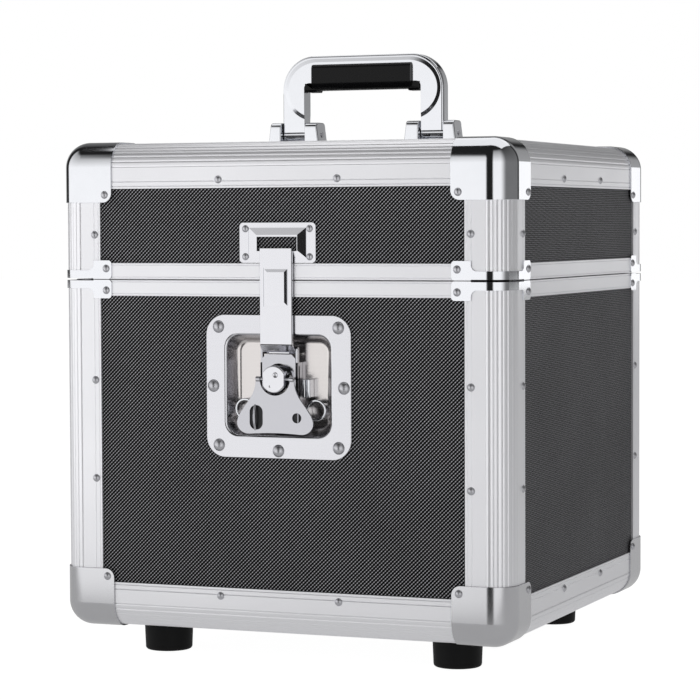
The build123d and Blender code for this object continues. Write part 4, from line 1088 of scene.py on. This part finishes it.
def makeKeeper():
    z, front, top, through = keeperMiddle, keeper.front, keeper.top, keeper.through
    halfX, halfZ, wall, line = keeper.frameHalfWidth, keeper.frameHalfHeight, keeper.roomWall, keeper.line
    plate = slab("latchKeeper", keeper.halfWidth, front, keeper.back, keeper.low, keeper.high)
    bevel(plate, alongY, keeper.corner, 8)
    soften(plate, keeper.edge)
    # the frame slopes gently up to its window on all four sides
    raised = slab("raised", halfX, top, front, z - halfZ, z + halfZ)
    factors = (keeper.topHalfWidth / halfX, 1, keeper.topHalfHeight / halfZ)
    stretch(raised, lambda v: isNear(v.co.y, top), factors, (0, 0, z))
    root = slab("root", halfX, front, front + keeper.footDepth, z - halfZ, z + halfZ)
    fuse(plate, fuse(raised, root))
    window = slab("window", keeper.windowHalf, *through, keeper.windowLow, keeper.windowHigh)
    roomX, roomZ = halfX - wall, halfZ - wall
    room = slab("room", roomX, front + keeper.roomDepth, keeper.roomBack, z - roomZ, z + roomZ)
    wide, tall = halfX + line, halfZ + line
    trench = slab("trench", wide, front - keeper.overlap, front + line, z - tall, z + tall)
    cut(trench, slab("core", halfX, *through, z - halfZ, z + halfZ))
    return cut(plate, window, room, trench)


settle(makeKeeper(), "lid", plated, "latch_keeper", angle=8)
keeperSpots = [
    ((x * keeper.rivetX, keeper.front, keeperMiddle + z * keeper.rivetZ), waysOut["f"])
    for x in (-1, 1) for z in (-1, 1)
]
rivets("keeperRivetHeads", rivet.keeperHead, keeperSpots, "lid", "keeper_rivets")
print("keeper done")

handle = Settings(
    pinZ=399.8, top=462.4, outer=68.4, inner=49.6, innerRound=4.0, halfDepth=6.5, corner=27.0, edge=1.8,
    fineEdge=0.45, legHalfDepth=5.95, legLow=401.8, through=20.0, reachLow=380.0, seatLow=420.0,
    cheekTop=440.9, cheekRadius=26.6, cheekSlope=4.6, cheekSink=0.4, knuckle=4.6, knuckleInner=48.9,
    knuckleEdge=0.4, pin=2.0, pinRoom=0.05, gripHalf=42.0, gripLow=434.9, gripHigh=455.4, gripDepth=10.0,
    gripRound=7.0, gripTopRound=3.4, gripEdge=0.8, tongueHalf=48.8, tongueDepth=7.0, tongueTop=440.6,
    tongueRound=2.6, tongueDrop=1.4, tongueIn=3.0, tongueGap=0.3,
)


def makeCheek():
    # the raised face, which narrows towards its front and its back
    deep, radius, sink, slope = handle.legHalfDepth, handle.cheekRadius, handle.cheekSink, handle.cheekSlope
    z, reach = handle.top - handle.corner, handle.outer - handle.corner + radius
    cheek = slab("cheek", reach, sink - deep, deep - sink, z - radius, z + radius)
    bevel(cheek, alongY, radius - 0.05, 28)
    factors = ((reach - slope) / reach, 1, (radius - slope) / radius)
    for side in (-1, 1):
        rise = side * (handle.halfDepth - deep + sink)
        extrude(cheek, "FACE", lambda f: f.normal.y * side > 0.9, (0, rise, 0), factors, (0, 0, z))
    return cheek


def makeBow():
    # flat legs, and a raised face over the top and both corners that ends in an arc on each leg
    deep, high, low, outer = handle.legHalfDepth, handle.top, handle.legLow, handle.outer
    inner, through = handle.inner, handle.through
    bow = slab("handleBow", outer, -deep, deep, low, high)
    bevelAt(bow, 1, high, handle.corner, 28)

    def onFaces(edge):
        return (liesAt(edge, 1, deep) or liesAt(edge, 1, -deep)) and middle(edge).z > low + 1

    bevel(bow, onFaces, handle.edge, 5)
    fuse(bow, makeCheek())
    reach = slab("reach", inner, -through, through, handle.reachLow, handle.cheekTop)
    seat = slab("seat", handle.gripHalf, -through, through, handle.seatLow, handle.gripHigh)
    bevelAt(reach, 1, handle.cheekTop, handle.innerRound, 6)
    cut(bow, reach, seat)
    parts = [soften(bow, handle.fineEdge, 3)]
    across, bore = (0, handle.pinZ), handle.pin + handle.pinRoom
    for side in (-1, 1):
        near, far = span(side, handle.knuckleInner, outer)
        knuckle = rodBetween("knuckle", "x", near, far, across, handle.knuckle, 40)
        cut(knuckle, rodBetween("pinHole", "x", near - 1, far + 1, across, bore, 40))
        parts.append(soften(knuckle, handle.knuckleEdge))
    return joined("handleBow", parts)


def makeGrip():
    half, deep, low, high = handle.gripHalf, handle.gripDepth, handle.gripLow, handle.gripHigh
    through = handle.through
    grip = slab("handleGrip", half, -deep, deep, low, high)
    bevelAt(grip, 0, low, handle.gripRound, 10)
    bevelAt(grip, 0, high, handle.gripTopRound, 6)
    # short tongues at both ends reach under the frame
    depth, start = handle.tongueDepth, low - handle.tongueDrop
    tongue = slab("tongue", handle.tongueHalf, -depth, depth, start, handle.tongueTop)
    bevel(tongue, lambda e: middle(e).z < low, handle.tongueRound, 6)
    between = slab(
        "between", half - handle.tongueIn, -through, through, handle.seatLow, low + handle.tongueGap
    )
    fuse(grip, cut(tongue, between))
    return soften(grip, handle.gripEdge, 3)


settle(makeBow(), "handle", chrome, "handle_frame", angle=8)
settle(makeGrip(), "handle", gripPlastic, "handle_grip", angle=35)

bracket = Settings(
    outer=81.0, inner=35.0, halfDepth=12.0, low=388.5, high=392.9, corner=5.0, edge=0.6, sinkX=58.0,
    sinkY=8.6, sinkZ=392.0, sinkDepth=2.0, sinkLow=2.1, sinkHigh=4.0,
    ears=((68.9, 78.0, "outer"), (38.0, 48.5, "inner")), earHalf=9.6, earTop=409.6, earRound=4.2,
    earSink=1.0, earEdge=0.9, flare=1.8,
)


def makeEar(side, inner, outer, free):
    # an upright block; the side that faces no other ear flares out at its foot
    (low, high), half, top = span(side, inner, outer), bracket.earHalf, bracket.earTop
    foot = bracket.high - bracket.earSink
    ear = block("ear", (low, -half, foot), (high, half, top))
    bevelAt(ear, 0, top, bracket.earRound, 10)
    x, way = (outer, side) if free == "outer" else (inner, -side)
    shift(ear, lambda v: isNear(v.co.x, side * x) and isNear(v.co.z, foot), (way * bracket.flare, 0, 0))
    return soften(ear, bracket.earEdge, 3)


def makeBrackets():
    parts = []
    for side in (-1, 1):
        (low, high), half = span(side, bracket.inner, bracket.outer), bracket.halfDepth
        plate = block("plate", (low, -half, bracket.low), (high, half, bracket.high))
        bevel(plate, lambda e: runsAlong(e, 2), bracket.corner, 8)
        for spot in (-1, 1):
            centre = (side * bracket.sinkX, spot * bracket.sinkY, bracket.sinkZ)
            cut(plate, rod(
                "sink", centre, "z", bracket.sinkLow, bracket.sinkDepth, 32, bracket.sinkHigh
            ))
        parts.append(soften(plate, bracket.edge, 3))
        parts += [makeEar(side, *ear) for ear in bracket.ears]
    return joined("handleBrackets", parts)


settle(makeBrackets(), "lid", chrome, "handle_brackets", angle=35)
print("handle done")

foot = Settings(x=119.0, y=117.0, bottom=18.0, top=19.0, height=25.5, edge=2.2, sink=5.1, sinkDepth=10.0)


def makeFoot(x, y):
    pad = rod("foot", (x, y, foot.height / 2), "z", foot.bottom, foot.height, 72, foot.top)
    bevel(pad, lambda e: isNear(middle(e).z, 0) and isSharp(e), foot.edge, 5)
    return cut(pad, rod("sink", (x, y, 0), "z", foot.sink, 2 * foot.sinkDepth, 40))


feet = joined("rubberFeet", [makeFoot(x * foot.x, y * foot.y) for x in (-1, 1) for y in (-1, 1)])
settle(feet, "base", rubber, "feet", angle=35)
print("feet done")

finishes = {
    "laminate": laminateFront, "rivet_steel": platedDark, "pressed_steel": plated, "chrome": chrome,
    "foam": felt, "satin_aluminium": satinX, "satin_caps": satinCap, "rubber": rubber,
    "grip_plastic": gripPlastic,
}
for name, node in frame["nodes"].items():
    finish = finishes[slots[name]]
    if name.endswith(("left_panel", "right_panel")):
        finish = laminateSide
    elif name.endswith(("floor_panel", "top_panel")):
        finish = laminateFlat
    node.data.materials.clear()
    node.data.materials.append(finish)
print("CAD nodes dressed")

studioFloor = Settings(
    near=-0.46, far=12.0, half=12.0, below=0.0005, tone=0.20, rough=0.9, seen=0.98, reflected=0.48,
)


def makeFloor():
    near, far = studioFloor.near, studioFloor.far
    spot = (0, (far + near) / 2, -studioFloor.below)
    plane = added("studioFloor", "plane", (2 * studioFloor.half, far - near, 1), size=1, location=spot)
    pale = Finish(
        "pale floor", Roughness=studioFloor.rough, Specular_IOR_Level=0.0, Emission_Strength=1.0,
        Base_Color=(*[studioFloor.tone] * 3, 1),
    )
    reflected, seen = ([studioFloor[key]] * 3 for key in ("reflected", "seen"))
    plane.data.materials.append(pale.wear(
        Emission_Color=pale.colours(pale.isSeenDirectly(), reflected, seen)
    ))
    return plane


makeFloor()

# Directions in degrees: 0 is straight in front of the case, 90 to its right, 180 behind it.
# Each zone has its start, its end, its strength and how soft its start and its end are.
studio = Settings(
    left=(-98, -14.6, 1.26, 3.0, 4.6), right=(14.5, 60, 1.22, 3.5, 15.0), grey=(60, 143, 0.20, 15.0, 5.0),
    behind=(155, 174, 0.42, 4.0, 4.0), back=(185, 235, 0.30, 6.0, 6.0), dark=0.018, leftTop=9.0,
    leftLean=0.88, leftMost=49.0, rightTop=54.0, topEdge=6.0, fade=70.0, pale=1.0,
)


def makeWorld():
    # soft boxes all round with narrow dark gaps, and a pale backdrop for the camera
    world = bpy.data.worlds.new("studio")
    bpy.context.scene.world = world
    world.use_nodes = True
    tree = world.node_tree
    tree.nodes.clear()
    sky = Nodes(tree)
    x, y, z = sky.axes(sky.add("ShaderNodeTexCoord", {}, {}, "Generated"))
    around = x.angle(0 - y).degrees()
    turned = around + 360 * (around < 0)
    above = z.maths("ARCSINE", z).degrees()

    def rise(value, level, edge):
        return sky.ramp(value - level, -edge, edge)

    def zone(value, name):
        low, high, strength, lowEdge, highEdge = studio[name]
        return rise(value, low, lowEdge) * (1 - rise(value, high, highEdge)) * strength

    leftTop = (studio.leftTop - studio.leftLean * around).least(studio.leftMost)
    left = zone(around, "left") * (1 - rise(above, leftTop, studio.topEdge))
    fade = 1 - above.most(0) / studio.fade
    others = zone(around, "right") + zone(around, "grey") + zone(turned, "behind") + zone(turned, "back")
    low = 1 - rise(above, studio.rightTop, studio.topEdge)
    light = (left + others * low) * fade + studio.dark
    white = (1, 1, 1, 1)
    glow = sky.add("ShaderNodeBackground", {}, {"Color": white, "Strength": light})
    backdrop = sky.add("ShaderNodeBackground", {}, {"Color": white, "Strength": studio.pale})
    mix = sky.add("ShaderNodeMixShader", {}, {0: sky.isSeenDirectly(), 1: glow, 2: backdrop})
    sky.link(mix, tree.nodes.new("ShaderNodeOutputWorld").inputs[0])


makeWorld()
lamps = {
    "overhead": Settings(spot=(0.08, 0.30, 1.39), aim=(0.08, 0.30, 0.0), size=(1.45, 1.3), power=6.5),
    "behind right": Settings(spot=(0.52, 1.0, 0.345), aim=(0.52, 0.0, 0.345), size=(0.26, 0.19), power=0.135),
}
for name, settings in lamps.items():
    lamp = bpy.data.lights.new(name, "AREA")
    lamp.shape = "RECTANGLE"
    lamp.size, lamp.size_y = settings.size
    lamp.energy = settings.power
    lampObject = bpy.data.objects.new(name, lamp)
    lampObject.location = settings.spot
    way = Vector(settings.aim) - Vector(settings.spot)
    lampObject.rotation_euler = way.to_track_quat("-Z", "Y").to_euler()
    bpy.context.collection.objects.link(lampObject)

view = Settings(
    place=(0.78056, -1.96730, 0.32915), yaw=-0.383712, pitch=-0.0476277, roll=-0.00410032, lens=136.64,
    sensor=36,
)


def makeCamera():
    yaw, pitch, roll = view.yaw, view.pitch, view.roll
    ahead = Vector((math.sin(yaw) * math.cos(pitch), math.cos(yaw) * math.cos(pitch), math.sin(pitch)))
    right = ahead.cross(Vector((0, 0, 1))).normalized()
    up = right.cross(ahead)
    rolledRight = math.cos(roll) * right + math.sin(roll) * up
    rolledUp = math.cos(roll) * up - math.sin(roll) * right
    data = bpy.data.cameras.new("camera")
    data.sensor_width = view.sensor
    data.lens = view.lens
    camera = bpy.data.objects.new("camera", data)
    camera.matrix_world = place(view.place, rolledRight, rolledUp, -ahead)
    bpy.context.collection.objects.link(camera)
    bpy.context.scene.camera = camera


makeCamera()
bpy.context.scene.view_settings.view_transform = "Standard"
